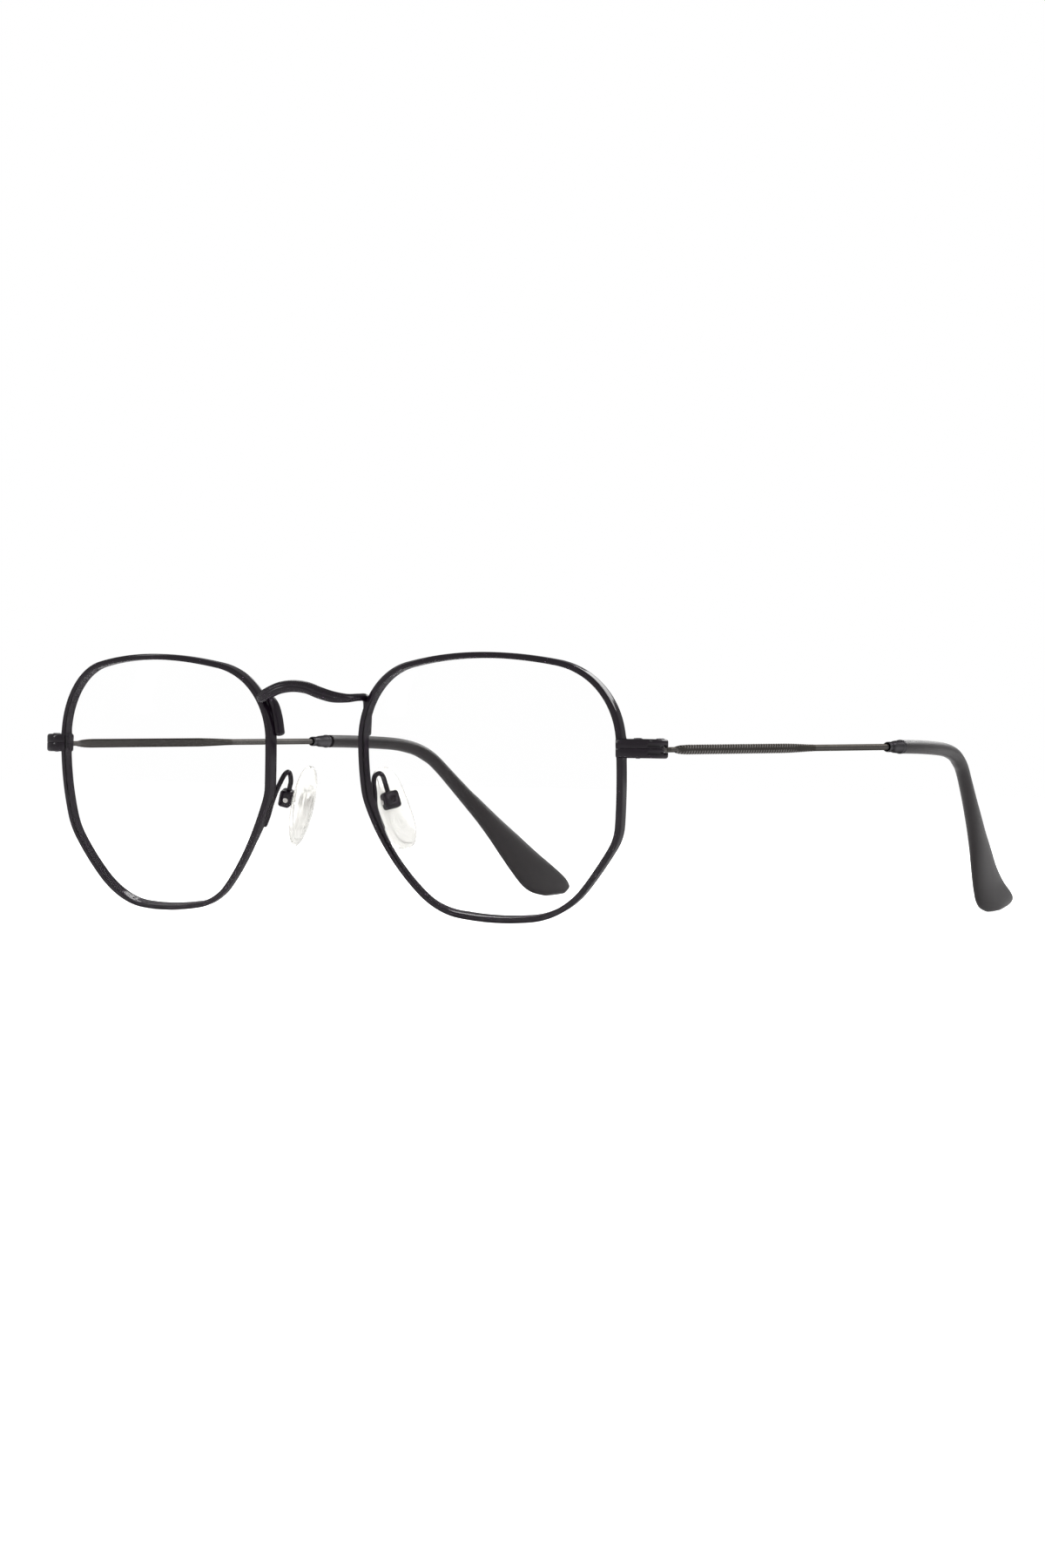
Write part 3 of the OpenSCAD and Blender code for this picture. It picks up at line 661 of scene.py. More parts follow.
def stamping_tree():
    tree, given = tree_with(
        "stamps_on_points", Stamp="NodeSocketObject", Material="NodeSocketMaterial"
    )
    stamp = add(tree, "GeometryNodeObjectInfo", inputs={"Object": given["Stamp"]})
    turn, size = (
        add(tree, "GeometryNodeInputNamedAttribute", {"data_type": "FLOAT_VECTOR"}, {"Name": key})
        for key in ("turn", "size")
    )
    rotation = add(tree, "FunctionNodeEulerToRotation", inputs={
        "Euler": turn.outputs["Attribute"],
    })
    stamps = add(tree, "GeometryNodeInstanceOnPoints", inputs={
        "Points": given["Geometry"], "Instance": stamp.outputs["Geometry"],
        "Rotation": rotation.outputs["Rotation"], "Scale": size.outputs["Attribute"],
    })
    return close_tree(tree, stamps.outputs["Instances"], given["Material"])


STAMPS = stamping_tree()


def run_tree(obj, tree, **given):
    """Runs a tree on an object with its named inputs and keeps the plain result."""
    modifier = obj.modifiers.new(tree.name, "NODES")
    modifier.node_group = tree
    keys = {
        item.name: item.identifier for item in tree.interface.items_tree if item.in_out == "INPUT"
    }
    for name, value in given.items():
        modifier[keys[name]] = value
    return baked(obj)


def stamped(name, stamp, places, material):
    """Stamps an object at places, each a (point, turn, size), and removes the stamp."""
    mesh = bpy.data.meshes.new(name)
    mesh.from_pydata([place[0] for place in places], [], [])
    for key, column in (("turn", 1), ("size", 2)):
        values = mesh.attributes.new(key, "FLOAT_VECTOR", "POINT")
        values.data.foreach_set("vector", [c for place in places for c in place[column]])
    obj = placed(name, mesh)
    run_tree(obj, STAMPS, Stamp=stamp, Material=material)
    bpy.data.objects.remove(stamp)
    return obj


print("made tree", STAMPS.name)

# %% [markdown]
# ## A wire along a path
# The pad arms are round wire. Their path is a mesh of edges, and each of its points has its
# share of the radius, so a wire can thin out. The second tree draws a circle along the path
# and closes both ends.

# %% Tree that draws a wire along a path
def wire_tree():
    tree, given = tree_with(
        "wire_along_path",
        Radius="NodeSocketFloat", Sides="NodeSocketInt", Material="NodeSocketMaterial",
    )
    path = add(tree, "GeometryNodeMeshToCurve", inputs={"Mesh": given["Geometry"]})
    ring = add(tree, "GeometryNodeCurvePrimitiveCircle", inputs={
        "Radius": given["Radius"], "Resolution": given["Sides"],
    })
    share = add(
        tree, "GeometryNodeInputNamedAttribute", {"data_type": "FLOAT"}, {"Name": "share"}
    )
    wire = add(tree, "GeometryNodeCurveToMesh", inputs={
        "Curve": path.outputs["Curve"], "Profile Curve": ring.outputs["Curve"],
        "Scale": share.outputs["Attribute"], "Fill Caps": True,
    })
    return close_tree(tree, wire.outputs["Mesh"], given["Material"])


WIRES = wire_tree()


def wire(name, path, shares, radius, material, sides=24):
    """Draws a round wire through points, each with its share of the radius."""
    mesh = bpy.data.meshes.new(name)
    mesh.from_pydata([tuple(p) for p in path], [(i, i + 1) for i in range(len(path) - 1)], [])
    values = mesh.attributes.new("share", "FLOAT", "POINT")
    values.data.foreach_set("value", shares)
    return run_tree(placed(name, mesh), WIRES, Radius=radius, Sides=sides, Material=material)


print("made tree", WIRES.name)

# %% [markdown]
# ## Rims
# A rim is a flat wire bent round the lens and closed by the two jaws of the endpiece. It is
# 0.8 by 1.75 mm in the solid model and is drawn 1.05 by 2.1 mm here, because that matches
# its width in the photograph. The wire leans with the ball shape of the lens, so its front
# face looks slightly outwards. A skin over its rounded section follows the outline from one
# jaw to the other. It is a little slimmer at the lower inner part and flares where the solder
# meets the jaws.

# %% Rims
WIRE_W, WIRE_D, WIRE_DOME = 1.05, 2.1, 8
RIM_LEAN = 0.4
END_IN_JAW = 0.6
FLARE, FLARE_REACH = 0.2, 0.35
# The wire lies a little outside its path at the sides and inside it at the top and bottom
GROW_AT_SIDES, SHRINK_AT_TOP, LENS_HALF_H = 0.04, 0.21, 21
# It slims past these distances inwards and down from the middle of the lens
SLIM_U, SLIM_V, SLIM_OVER = 6, 5, 6
SLIM_W, SLIM_D = 0.1, 0.3


def rim_order(points, flat):
    """Places in the outline that the wire follows, from one jaw to the other."""
    clear_of_jaws = ENDPIECE_H / 2 - END_IN_JAW
    kept = [
        i for i, (p, (u, v)) in enumerate(zip(points, flat))
        if u < 0 or abs(p.z + LENS_Z - ENDPIECE_Z) > clear_of_jaws
    ]
    gap = next(k for k in range(len(kept)) if kept[k] - kept[k - 1] not in (1, 1 - len(flat)))
    return kept[gap:] + kept[:gap]


def rim_rings():
    flat = lens_outline(0)
    points = [front_point(u, v, BASE_R) for u, v in flat]
    ball = LENS_MIDDLE + front_turned(0, BASE_R, 0)
    axis = front_turned(0, -1, 0)
    order = rim_order(points, flat)
    front = RIM_D / 2
    section = [(a, b - (WIRE_D - RIM_D) / 2) for a, b in domed_section(WIRE_W, WIRE_D, WIRE_DOME)]
    rings = []
    for number, i in enumerate(order):
        p, (u, v) = points[i], flat[i]
        along = (points[(i + 1) % len(points)] - points[i - 1]).normalized()
        depth = (axis * (1 - RIM_LEAN) + (p - ball).normalized() * RIM_LEAN).normalized()
        outward = along.cross(depth).normalized()
        if outward.dot(p - LENS_MIDDLE) < 0:
            outward.negate()
        to_jaw = min(number, len(order) - 1 - number) * OUTLINE_STEP
        flare = 1 + FLARE * exp(-to_jaw / FLARE_REACH)
        grow = GROW_AT_SIDES - SHRINK_AT_TOP * min(1.0, abs(v) / LENS_HALF_H) ** 3
        slim = kept_to_one((-v - SLIM_V) / SLIM_OVER) * kept_to_one((-u - SLIM_U) / SLIM_OVER)
        rings.append([
            p + outward * (grow + a * flare * (1 - SLIM_W * slim))
            + depth * (front - (front - b) * (1 - SLIM_D * slim)) * (1 + (flare - 1) / 3)
            for a, b in section
        ])
    return rings


for side, word in SIDE_NAMES.items():
    rim = settled(solid("rim_wire_" + word, [skin(rim_rings())], FRONT_FRAME), LACQUER, side)
    fitted(rim, "front", "black_lacquer", "rim_" + word)

# %% [markdown]
# ## Lenses
# A lens is a shell between two balls, 1.4 mm thick, with a thin tongue round its edge that
# sits in the groove of the rim. Rings from the middle of its front, over the tongue, to the
# middle of its back make one closed skin. Clear glass without caustics would throw a dark
# shadow, so the lenses are told not to throw one.

# %% Lenses
LENS_STEP = 0.8
LENS_SHARES = [0.004, 0.08] + spread(0.16, 0.96, 10) + [0.99, 1.0]


def lens_rings():
    edge = lens_outline(-RIM_W / 2 - LENS_CLEAR, LENS_STEP)
    tongue = lens_outline(GROOVE_DEPTH - RIM_W / 2 - LENS_CLEAR, LENS_STEP)
    front, back = BASE_R + LENS_T / 2, BASE_R - LENS_T / 2
    half_tongue = GROOVE_W / 2 - LENS_CLEAR
    rings = [[front_point(u * f, v * f, front) for u, v in edge] for f in LENS_SHARES]
    rings += [[front_point(u, v, BASE_R + t) for u, v in outline] for outline, t in (
        (edge, half_tongue), (tongue, half_tongue), (tongue, -half_tongue), (edge, -half_tongue)
    )]
    return rings + [
        [front_point(u * f, v * f, back) for u, v in edge] for f in reversed(LENS_SHARES)
    ]


def edge_faces(mesh):
    """Faces of the wall and the tongue, told by their places in the skin."""
    count = len(lens_outline(0, LENS_STEP))
    first = len(LENS_SHARES) - 1
    edge_rings = range(first, first + 5)
    quads = [face for face in mesh.polygons if face.loop_total == 4]
    return [face for face in quads if min(face.vertices) // count in edge_rings]


for side, word in SIDE_NAMES.items():
    shell = solid("lens_shell_" + word, [skin(lens_rings())], FRONT_FRAME)
    lens = settled(shell, LENS_PLASTIC, side, sharp=30)
    lens.visible_shadow = False
    # The wall and the tongue of the lens take the near-black edge, a painted shade of the rim's
    # groove.
    lens.data.materials.append(LENS_EDGE_SHADE)
    for face in edge_faces(lens.data):
        face.material_index = 1
    fitted(lens, "front", "clear_lens", "lens_" + word)

# %% [markdown]
# ## Milled teeth
# The bridge and the temples are decorated with two rows of slanted teeth, milled 0.48 and
# 0.60 mm apart. That is under two pixels of a small render, so the temple's are drawn
# 0.80 mm apart and a little prouder than they are, and still read as milling. One tooth is
# a low ridge that lies on the section of the piece. The same stamp, turned and sized by the
# path, repeats it along the whole piece.

# %% A stamp with one upper and one lower tooth
TOOTH_RINGS = 8
ROOT, END_HEIGHT = -0.08, 0.35


def tooth_stamp(section, upper, lower, width, proud, slant):
    """Stamp with X along the path; section(t) gives the (y, z) of the surface at angle t."""
    shells = []
    for low, high in (upper, lower):
        rings = []
        for number, t in enumerate(spread(low, high, TOOTH_RINGS)):
            y, z = section(t)
            out = Vector((0, y, z)).normalized()
            base = Vector((z * tan(slant), y, z))
            crest = proud * (END_HEIGHT if number in (0, TOOTH_RINGS) else 1.0)
            ridge = ((-1, ROOT), (-0.8, 0.0), (-0.3, crest), (0.3, crest), (0.8, 0.0), (1, ROOT))
            rings.append([
                base + Vector((w * width / 2, 0, 0)) + out * height for w, height in ridge
            ])
        shells.append(skin(rings))
    return solid("tooth_stamp", shells)


print("teeth are stamped from", 2 * TOOTH_RINGS * 6, "faces each")

# %% [markdown]
# ## Bridge
# The bridge is one forged bar, oval, soldered to both rims with a leg that runs down behind
# each. Its centre line is a smooth curve through a few points, and the section keeps its
# upright without twisting. A fine groove runs along the middle of its front between the
# two rows of teeth. A table gives half of the bar: the place as a share of the way to the
# rim, back and up, and the half height and half depth of the section there.

# %% The bar's path and skin
BAR_HALF_H, BAR_HALF_D = 1.04, 0.84
BRIDGE_HALF = (
    (0, -4.86, 16.6, BAR_HALF_H, BAR_HALF_D), (0.266, -4.86, 16.3, BAR_HALF_H, BAR_HALF_D),
    (0.495, -4.7, 15.5, BAR_HALF_H, BAR_HALF_D), (0.706, -3.8, 14.8, 0.98, 0.82),
    (0.862, -2, 14.6, 0.76, 0.76), (0.954, 0, 14.8, 0.64, 0.7), (0.972, 1.7, 14.7, 0.72, 0.65),
    (0.945, 2.8, 13.4, 1.0, 0.68), (0.908, 3.2, 11.2, 1.2, 0.68), (0.881, 3.5, 8.6, 1.2, 0.64),
)
BAR_END, BAR_FADE = 0.8 * NOSE_X, 1.2
DENT, DENT_ANGLE = 0.1, radians(7)
END_DOME = 0.5


def bridge_path(steps):
    """Places on the bridge: point, half height, half depth, and along, back and up."""
    rows = [(-row[0],) + row[1:] for row in reversed(BRIDGE_HALF[1:])] + list(BRIDGE_HALF)
    rows = smooth_rows(rows, steps)
    points = [Vector((row[0] * NOSE_X, row[1], row[2])) for row in rows]
    places, up = [], Vector((0, 1, 0))
    for i, (p, row) in enumerate(zip(points, rows)):
        along = (points[min(i + 1, len(points) - 1)] - points[max(i - 1, 0)]).normalized()
        up = (up - up.dot(along) * along).normalized()
        places.append((p, row[3], row[4], along, up.cross(along), up))
    return places


def on_bar(x):
    """1 on the raised bar of the bridge, fading to 0 towards its legs."""
    return kept_to_one((BAR_END - abs(x)) / BAR_FADE)


def rounded_ends(places):
    """The places with rings added that close both ends of the bar in a dome."""
    caps = [(sin(radians(a)), cos(radians(a))) for a in (25, 50, 70, 85)]

    def dome(place, outwards):
        p, half_h, half_d, along, *rest = place
        return [
            (p + outwards * along * END_DOME * out, half_h * low, half_d * low, along, *rest)
            for out, low in caps
        ]

    return dome(places[0], -1)[::-1] + places + dome(places[-1], 1)


def bridge_rings():
    rings = []
    for p, half_h, half_d, along, back, up in rounded_ends(bridge_path(12)):
        ring = []
        for t in full_turn(64):
            from_front = (t - 1.5 * pi + pi) % (2 * pi) - pi
            dent = 1 - DENT * on_bar(p.x) * exp(-(from_front / DENT_ANGLE) ** 2)
            ring.append(p + (up * cos(t) * half_h + back * sin(t) * half_d) * dent)
        rings.append(ring)
    return rings


print("the bridge's skin has", len(bridge_rings()), "rings")

# %% [markdown]
# ### Solder of the bridge
# Solder fills the narrow space between each leg and the back of its rim. It is drawn as a
# thin web, one flat oval from the leg to the rim at each height.

# %% Solder webs
WEB_LOW, WEB_HIGH, WEB_HALF_T = 8.4, 14.2, 0.5
WEB_INTO_RIM, WEB_REACH, WEB_TAPER = 0.4, 0.62, 0.12
WEB_RIM_LOW, WEB_RIM_OUT = -12, NOSE_X + 6


def solder_web():
    """Solder that fills the space between a leg of the bridge and the back of the rim."""
    rim_line = [
        p for p in (front_point(u, v, BASE_R) for u, v in lens_outline(0) if u < 0)
        if p.z >= WEB_RIM_LOW and p.x <= WEB_RIM_OUT
    ]
    leg = [
        place[0] for place in bridge_path(12)
        if place[0].x > 0 and WEB_LOW < place[0].z < WEB_HIGH and place[0].y > 1
    ]
    rings = []
    for number, p in enumerate(leg):
        rim = min(rim_line, key=lambda q: abs(q.z - p.z))
        reach = Vector((rim.x - p.x, rim.y + WEB_INTO_RIM - p.y, 0))
        wide = Vector((-reach.y, reach.x, 0)).normalized()
        up_leg = WEB_TAPER + (1 - 2 * WEB_TAPER) * number / (len(leg) - 1)
        rings.append([
            p + reach / 2 + reach * WEB_REACH * cos(t)
            + wide * WEB_HALF_T * sqrt(sin(pi * up_leg)) * sin(t)
            for t in full_turn(24)
        ])
    return skin(rings)


def both_sides(shell):
    points, faces = shell
    return shell, ([Vector((-p.x, p.y, p.z)) for p in points], faces)


shells = [skin(bridge_rings()), *both_sides(solder_web())]
bridge = settled(solid("bridge_bar", shells, FRONT_FRAME), LACQUER)
fitted(bridge, "front", "black_lacquer", "bridge")

# %% [markdown]
# ### Teeth of the bridge
# A walk along the bar drops a pair of teeth every 0.48 mm. Each pair is turned with the bar
# and sized by its section there, so the teeth keep to the surface round the bends.

# %% Teeth of the bridge
BRIDGE_TOOTH_GAP, BRIDGE_TOOTH_W, BRIDGE_TOOTH_H = 0.48, 0.3, 0.035


def bridge_teeth():
    places = bridge_path(40)
    stamp = tooth_stamp(
        lambda t: (BAR_HALF_D * sin(t), BAR_HALF_H * cos(t)),
        (radians(283), radians(330)), (radians(257), radians(210)),
        BRIDGE_TOOTH_W, BRIDGE_TOOTH_H, slant=radians(12),
    )
    spots, gone = [], BRIDGE_TOOTH_GAP
    for before, place in zip(places, places[1:]):
        p, half_h, half_d, along, back, up = place
        gone += (p - before[0]).length
        if gone >= BRIDGE_TOOTH_GAP and abs(p.x) < BAR_END:
            gone -= BRIDGE_TOOTH_GAP
            turn = Matrix((along, back, up)).transposed().to_euler("XYZ")
            size = (1, half_d / BAR_HALF_D, half_h / BAR_HALF_H)
            spots.append((FRONT_FRAME @ p, turn, size))
        gone = min(gone, BRIDGE_TOOTH_GAP)
    print(len(spots), "pairs of teeth on the bridge")
    return stamped("bridge_teeth", stamp, spots, LACQUER)


fitted(settled(bridge_teeth(), LACQUER, sharp=30), "front", "black_lacquer")

# %% [markdown]
# ## Endpieces
# An endpiece is cast and split in two jaws, which a screw closes round the lens. Its plan is
# a straight front, a round outer bend and the ear of the hinge. The plan is drawn up to
# its height with rounded edges, as a casting has them. Then the lens opening, the hinge slot
# and the screw seats are cut out, and a fine bevel breaks the new edges as polishing does.

# %% Endpieces
EAR_R, BEND_R, EAR_NECK = 1.3, 4.5, 1.7
SLOT_R, SLOT_H = 1.5, 0.85
RECESS, RECESS_TOP, RECESS_OUT = 0.5, 0.84, 0.6
RECESS_FROM, RECESS_TO = radians(-40), radians(26)
JAW_IN, JAW_BEHIND, INNER_BEND = 1.2, 0.4, (2.3, 1.5)
JAW_SLIT = 0.008
JAW_ROUND, SLIT_ROUND, INNER_ROUND = 0.45, 0.1, 0.4
OPENING_IN, OPENING_FROM, OPENING_TO = 0.38, -12, 20
OVERLAP = 0.02
FACE_Y = RIM_SIDE.y - RIM_D / 2 - 0.3
SCREW_XY = (64.0019, 6.263)
HEAD_R, HEAD_H, HEAD_SINK, SEAT_ROOM = 0.75, 0.35, 0.2, 0.04
HEAD_Z = ENDPIECE_Z + ENDPIECE_H / 2 - HEAD_SINK
HINGE_FRAME = {
    side: Matrix.Translation(HINGE) @ Matrix.Rotation(side * HINGE_TILT, 4, "Y")
    for side in SIDE_NAMES
}


def arc(centre, radius, low, high, steps):
    """Points on an arc about a centre."""
    return [
        (centre[0] + radius * cos(t), centre[1] + radius * sin(t))
        for t in spread(low, high, steps)
    ]


def endpiece_plan():
    plan = [(RIM_SIDE.x - JAW_IN, FACE_Y)]
    plan += arc((HINGE.x + EAR_R - BEND_R, FACE_Y + BEND_R), BEND_R, -pi / 2, 0, 16)
    plan += arc(HINGE, EAR_R, 0, pi, 24)
    plan += [(HINGE.x - EAR_R, HINGE.y - EAR_NECK)]
    plan += [(RIM_SIDE.x + INNER_BEND[0], RIM_SIDE.y + INNER_BEND[1])]
    return plan + [(RIM_SIDE.x - JAW_IN, RIM_SIDE.y + RIM_D / 2 + JAW_BEHIND)]


def outer_path(grow):
    """Outer face of the bend and the ear from the hinge screw, moved out by grow."""
    bend = (EAR_R - BEND_R, FACE_Y + BEND_R - HINGE.y)
    path = arc(bend, BEND_R + grow, RECESS_FROM, 0, 10)
    return path + arc((0, 0), EAR_R + grow, 0, RECESS_TO, 6)


def ear_recesses():
    """Room above and below the knuckle, which stands free on the outside of the hinge."""
    plan = outer_path(RECESS_OUT) + outer_path(-RECESS)[::-1]
    inner = SLOT_H / 2 - OVERLAP
    return extruded(plan, inner, RECESS_TOP), extruded(plan, -RECESS_TOP, -inner)


def opening():
    """Room inside the rim, along the lens axis, that widens in a round to the front face."""
    outline = lens_outline(-RIM_W / 2 - OPENING_IN, LENS_STEP)
    middle = LENS_MIDDLE + UP_TO_LENS
    levels = [(OPENING_FROM, INNER_ROUND)]
    levels += [(FACE_Y + drop, widen) for drop, widen in quarter_round(INNER_ROUND)]
    rings = []
    for y, widen in levels + [(OPENING_TO, 0)]:
        ring = []
        for i, (u, v) in enumerate(outline):
            (u0, v0), (u1, v1) = outline[i - 1], outline[(i + 1) % len(outline)]
            out = Vector((v1 - v0, u0 - u1)).normalized() * widen
            ring.append(middle + front_turned(u + out.x, y, v + out.y))
        rings.append(ring)
    return skin(rings)


def jaw(name, side, low, high, round_low, round_high):
    obj = solid(name, [pillowed(endpiece_plan(), low, high, round_low, round_high)])
    cut(obj, opening())
    slot = turned([(SLOT_R, -SLOT_H / 2), (SLOT_R, SLOT_H / 2)])
    seat = turned([(HEAD_R + SEAT_ROOM, 0), (HEAD_R + SEAT_ROOM, 2)])
    hinge = HINGE_FRAME[side]
    cut(obj, slot, *ear_recesses(), frame_matrix=hinge)
    cut(obj, seat, frame_matrix=hinge @ Matrix.Translation((0, 0, HEAD_Z - HINGE.z)))
    cut(obj, seat, frame_matrix=Matrix.Translation((*SCREW_XY, HEAD_Z)))
    return softened(obj, 0.06, angle=60)


for side, word in SIDE_NAMES.items():
    bottom, top = ENDPIECE_Z - ENDPIECE_H / 2, ENDPIECE_Z + ENDPIECE_H / 2
    for part, low, high, round_low, round_high in (
        ("upper", ENDPIECE_Z + JAW_SLIT / 2, top, SLIT_ROUND, JAW_ROUND),
        ("lower", bottom, ENDPIECE_Z - JAW_SLIT / 2, JAW_ROUND, SLIT_ROUND),
    ):
        made = jaw("endpiece_jaw_%s_%s" % (part, word), side, low, high, round_low, round_high)
        piece = settled(made, LACQUER, side, sharp=30)
        fitted(piece, "front", "black_lacquer", "endpiece_%s_%s" % (part, word))

# %% [markdown]
# ## Screws
# A screw is turned with a low head, its edge broken, and slotted. One pattern of each size
# is stamped on its places, so all the screws of one kind are one mesh.

# %% Screws
SLOT_W = 0.22
RIM_PIN_R, RIM_PIN_EXTRA, HINGE_PIN_R = 0.45, 0.08, 0.5
FULL_SIZE = (1, 1, 1)


def screw_stamp(pin_r, length, head_r, head_h, slot_w):
    obj = solid("screw_stamp", [turned([
        (pin_r * 0.7, -length), (pin_r, -length + 0.12), (pin_r, 0), (head_r - 0.06, 0),
        (head_r, 0.06), (head_r, head_h - 0.12), (head_r - 0.04, head_h - 0.05),
        (head_r - 0.12, head_h),
    ], 40)])
    return cut(obj, block((-2, -slot_w / 2, head_h * 0.45), (2, slot_w / 2, 1)))


def mirrored(spots):
    """Spots of the left half and their mirror images, for one mesh that spans both halves."""
    return spots + [
        (Vector((-p[0], p[1], p[2])), (turn[0], -turn[1], -turn[2]), size)
        for p, turn, size in spots
    ]


rim_spots = mirrored([(Vector((*SCREW_XY, HEAD_Z)), (0, 0, radians(35)), FULL_SIZE)])
rim_stamp = screw_stamp(RIM_PIN_R, ENDPIECE_H - HEAD_SINK + RIM_PIN_EXTRA, HEAD_R, HEAD_H, SLOT_W)
rim_screws = settled(
    stamped("rim_screws", rim_stamp, rim_spots, DARK_STEEL), DARK_STEEL, sharp=30
)
fitted(rim_screws, "front", "dark_screw", "rim_screw_left", "rim_screw_right")

hinge_spots = []
for side in SIDE_NAMES:
    spot = HINGE_FRAME[side] @ Vector((0, 0, HEAD_Z - HINGE.z))
    turn = (0, HINGE_TILT, radians(-20) * side)
    hinge_spots.append((Vector((side * spot.x, spot.y, spot.z)), turn, FULL_SIZE))
hinge_stamp = screw_stamp(HINGE_PIN_R, ENDPIECE_H - HEAD_SINK, HEAD_R, HEAD_H, SLOT_W)
hinge_screws = settled(
    stamped("hinge_screws", hinge_stamp, hinge_spots, DARK_STEEL), DARK_STEEL, sharp=30
)
fitted(hinge_screws, "front", "dark_screw", "hinge_screw_left", "hinge_screw_right")

# %% [markdown]
# ## Pad arms
# A pad arm is a thin wire: its foot is soldered along the back of the rim, it loops forward
# and up and ends on top of the pad box, where pliers can bend it to fit a nose. The wire
# tree draws it through a smooth path, thinner only at its rounded foot.

# %% Pad arms
ARM_R = 0.43
FOOT_SHARE = 0.3
ARM_POINTS = (
    (2.35, 4.1, -7.8), (1.4, 4, -5.9), (0.65, 3.9, -3.9), (0.1, 4.4, -1.7), (-0.6, 4.95, 0.3),
    (-0.85, 5.6, 1.4), (-0.75, 6.6, 1.85), (-0.6, 7.4, 1.45), (-0.4, 7.9, 0.2),
)
ARM_IN_BOX = ((0, 0, 1.8), (0, 0, 1.3))


def arm_path():
    """Smooth path from the foot on the rim to the end in the pad box."""
    rows = [(NOSE_X + x, y, z) for x, y, z in ARM_POINTS]
    rows += [tuple(PAD_FRAME @ Vector(p) - UP_TO_LENS) for p in ARM_IN_BOX]
    return [Vector(row) + UP_TO_LENS for row in smooth_rows(rows, 10)]


def pad_arm(name):
    path = arm_path()
    shares, gone = [], 0.0
    for before, p in zip([path[0]] + path, path):
        gone += (p - before).length
        dome = sqrt(1 - (1 - min(1.0, gone / ARM_R)) ** 2)
        shares.append(dome * (1 - FOOT_SHARE) + FOOT_SHARE)
    return wire(name, path, shares, ARM_R, LACQUER)


for side, word in SIDE_NAMES.items():
    arm = settled(pad_arm("pad_arm_wire_" + word), LACQUER, side)
    fitted(arm, "front", "black_lacquer", "pad_arm_" + word)

# %% [markdown]
# ## Pad boxes
# The box at the end of the arm is a small rounded cube, open to the pad, with the riveted
# end of the arm showing as a dimple on its outer face. A cross screw holds the lug of the
# pad's insert in it. The cube is rounded first and hollowed after, so that its edges are
# rounder outside than at its mouth.

# %% Pad boxes
BOX_LO, BOX_HI = Vector((-0.85, -1.5, -1.45)), Vector((1.3, 1.45, 1.55))
HOLLOW_LO, HOLLOW_HI = (-2, -0.63, -1), (0.78, 0.63, 1)
BOX_ROUND = 0.55
DIMPLE = ((0.3, BOX_HI.x - 0.3), (0.52, BOX_HI.x + 0.02), (0.52, 3))


def pad_box(name):
    obj = softened(solid(name, [block(BOX_LO, BOX_HI)]), BOX_ROUND, segments=5)
    cut(obj, block(HOLLOW_LO, HOLLOW_HI))
    cut(obj, turned(DIMPLE, 32), frame_matrix=Matrix.Rotation(pi / 2, 4, "Y"))
    softened(obj, 0.05, angle=50)
    obj.data.transform(PAD_FRAME)
    return obj


for side, word in SIDE_NAMES.items():
    box = settled(pad_box("pad_box_shell_" + word), LACQUER, side, sharp=35)
    fitted(box, "front", "black_lacquer", "pad_box_" + word)

# %% [markdown]
# ### Cross screws
# The screw of a pad box lies across it, so its stamp is turned on its side. Its slot is
# left at a slant, where a driver would stop.

# %% Screws of the pad boxes
PAD_PIN_R, PAD_PIN_LENGTH = 0.3, 2.95
PAD_HEAD_R, PAD_HEAD_H, PAD_SLOT_W = 0.45, 0.2, 0.14

on_its_side = Matrix.Rotation(pi / 2, 4, "X")
slot_turn = Matrix.Rotation(radians(60), 4, "Z")
pad_turn = (PAD_FRAME @ on_its_side @ slot_turn).to_euler("XYZ")
pad_spots = mirrored([(PAD_FRAME @ Vector((0, BOX_LO.y, 0)), pad_turn, FULL_SIZE)])
pad_stamp = screw_stamp(PAD_PIN_R, PAD_PIN_LENGTH, PAD_HEAD_R, PAD_HEAD_H, PAD_SLOT_W)
pad_screws = settled(
    stamped("pad_screws", pad_stamp, pad_spots, BRIGHT_STEEL_AND_RIB_HIGHLIGHT), BRIGHT_STEEL_AND_RIB_HIGHLIGHT, sharp=30
)
fitted(pad_screws, "front", "bright_screw", "pad_screw_left", "pad_screw_right")

# %% [markdown]
# ## Nose pads
# A nose pad is a soft pillow of clear silicone, 14.8 by about 6 mm, thicker near its top and
# a little wider below. Rings from the middle of one face round the edge to the middle of the
# other make it, and shallow rings in the mould show as faint circles on its outer face.

# %% Nose pads
PAD_CENTRE = Vector((-2.67, 1.3, -1.1))
PAD_HALF_W, PAD_H, PAD_T = 3.05, 14.8, 3.9
PAD_OVAL, PAD_EDGE = 2 / 2.6, 2 / 2.5
NARROW_TOP, WIDE_LOW, SHIFT_LOW = 0.3, 0.45, 0.55
DOME_R, CROWN = 85.0, 1.8
MOULD_R, MOULD_Z, MOULD_GAP, MOULD_DEPTH, MOULD_FADE = 2.3, -2.6, 0.46, 0.035, 0.4


def pad_outline(t):
    """Outline of the pad at angle t, as (y, z)."""
    y, z = signed_power(cos(t), PAD_OVAL), signed_power(sin(t), PAD_OVAL)
    low = (1 - z) / 2
    half_w = PAD_HALF_W - NARROW_TOP + WIDE_LOW * low
    return y * half_w + SHIFT_LOW * low ** 2, z * PAD_H / 2


def pad_thickness(y, z):
    """Half thickness of the pad between its two domed faces."""
    return PAD_T / 2 - (y * y + (z - CROWN) ** 2) / (2 * DOME_R)


def mould_ring(y, z):
    """Depth of the moulded rings at a place on the outer face."""
    r = hypot(y, z - MOULD_Z)
    wave = 0.5 - 0.5 * cos(2 * pi * r / MOULD_GAP)
    return MOULD_DEPTH * wave * kept_to_one((MOULD_R - r) / MOULD_FADE)


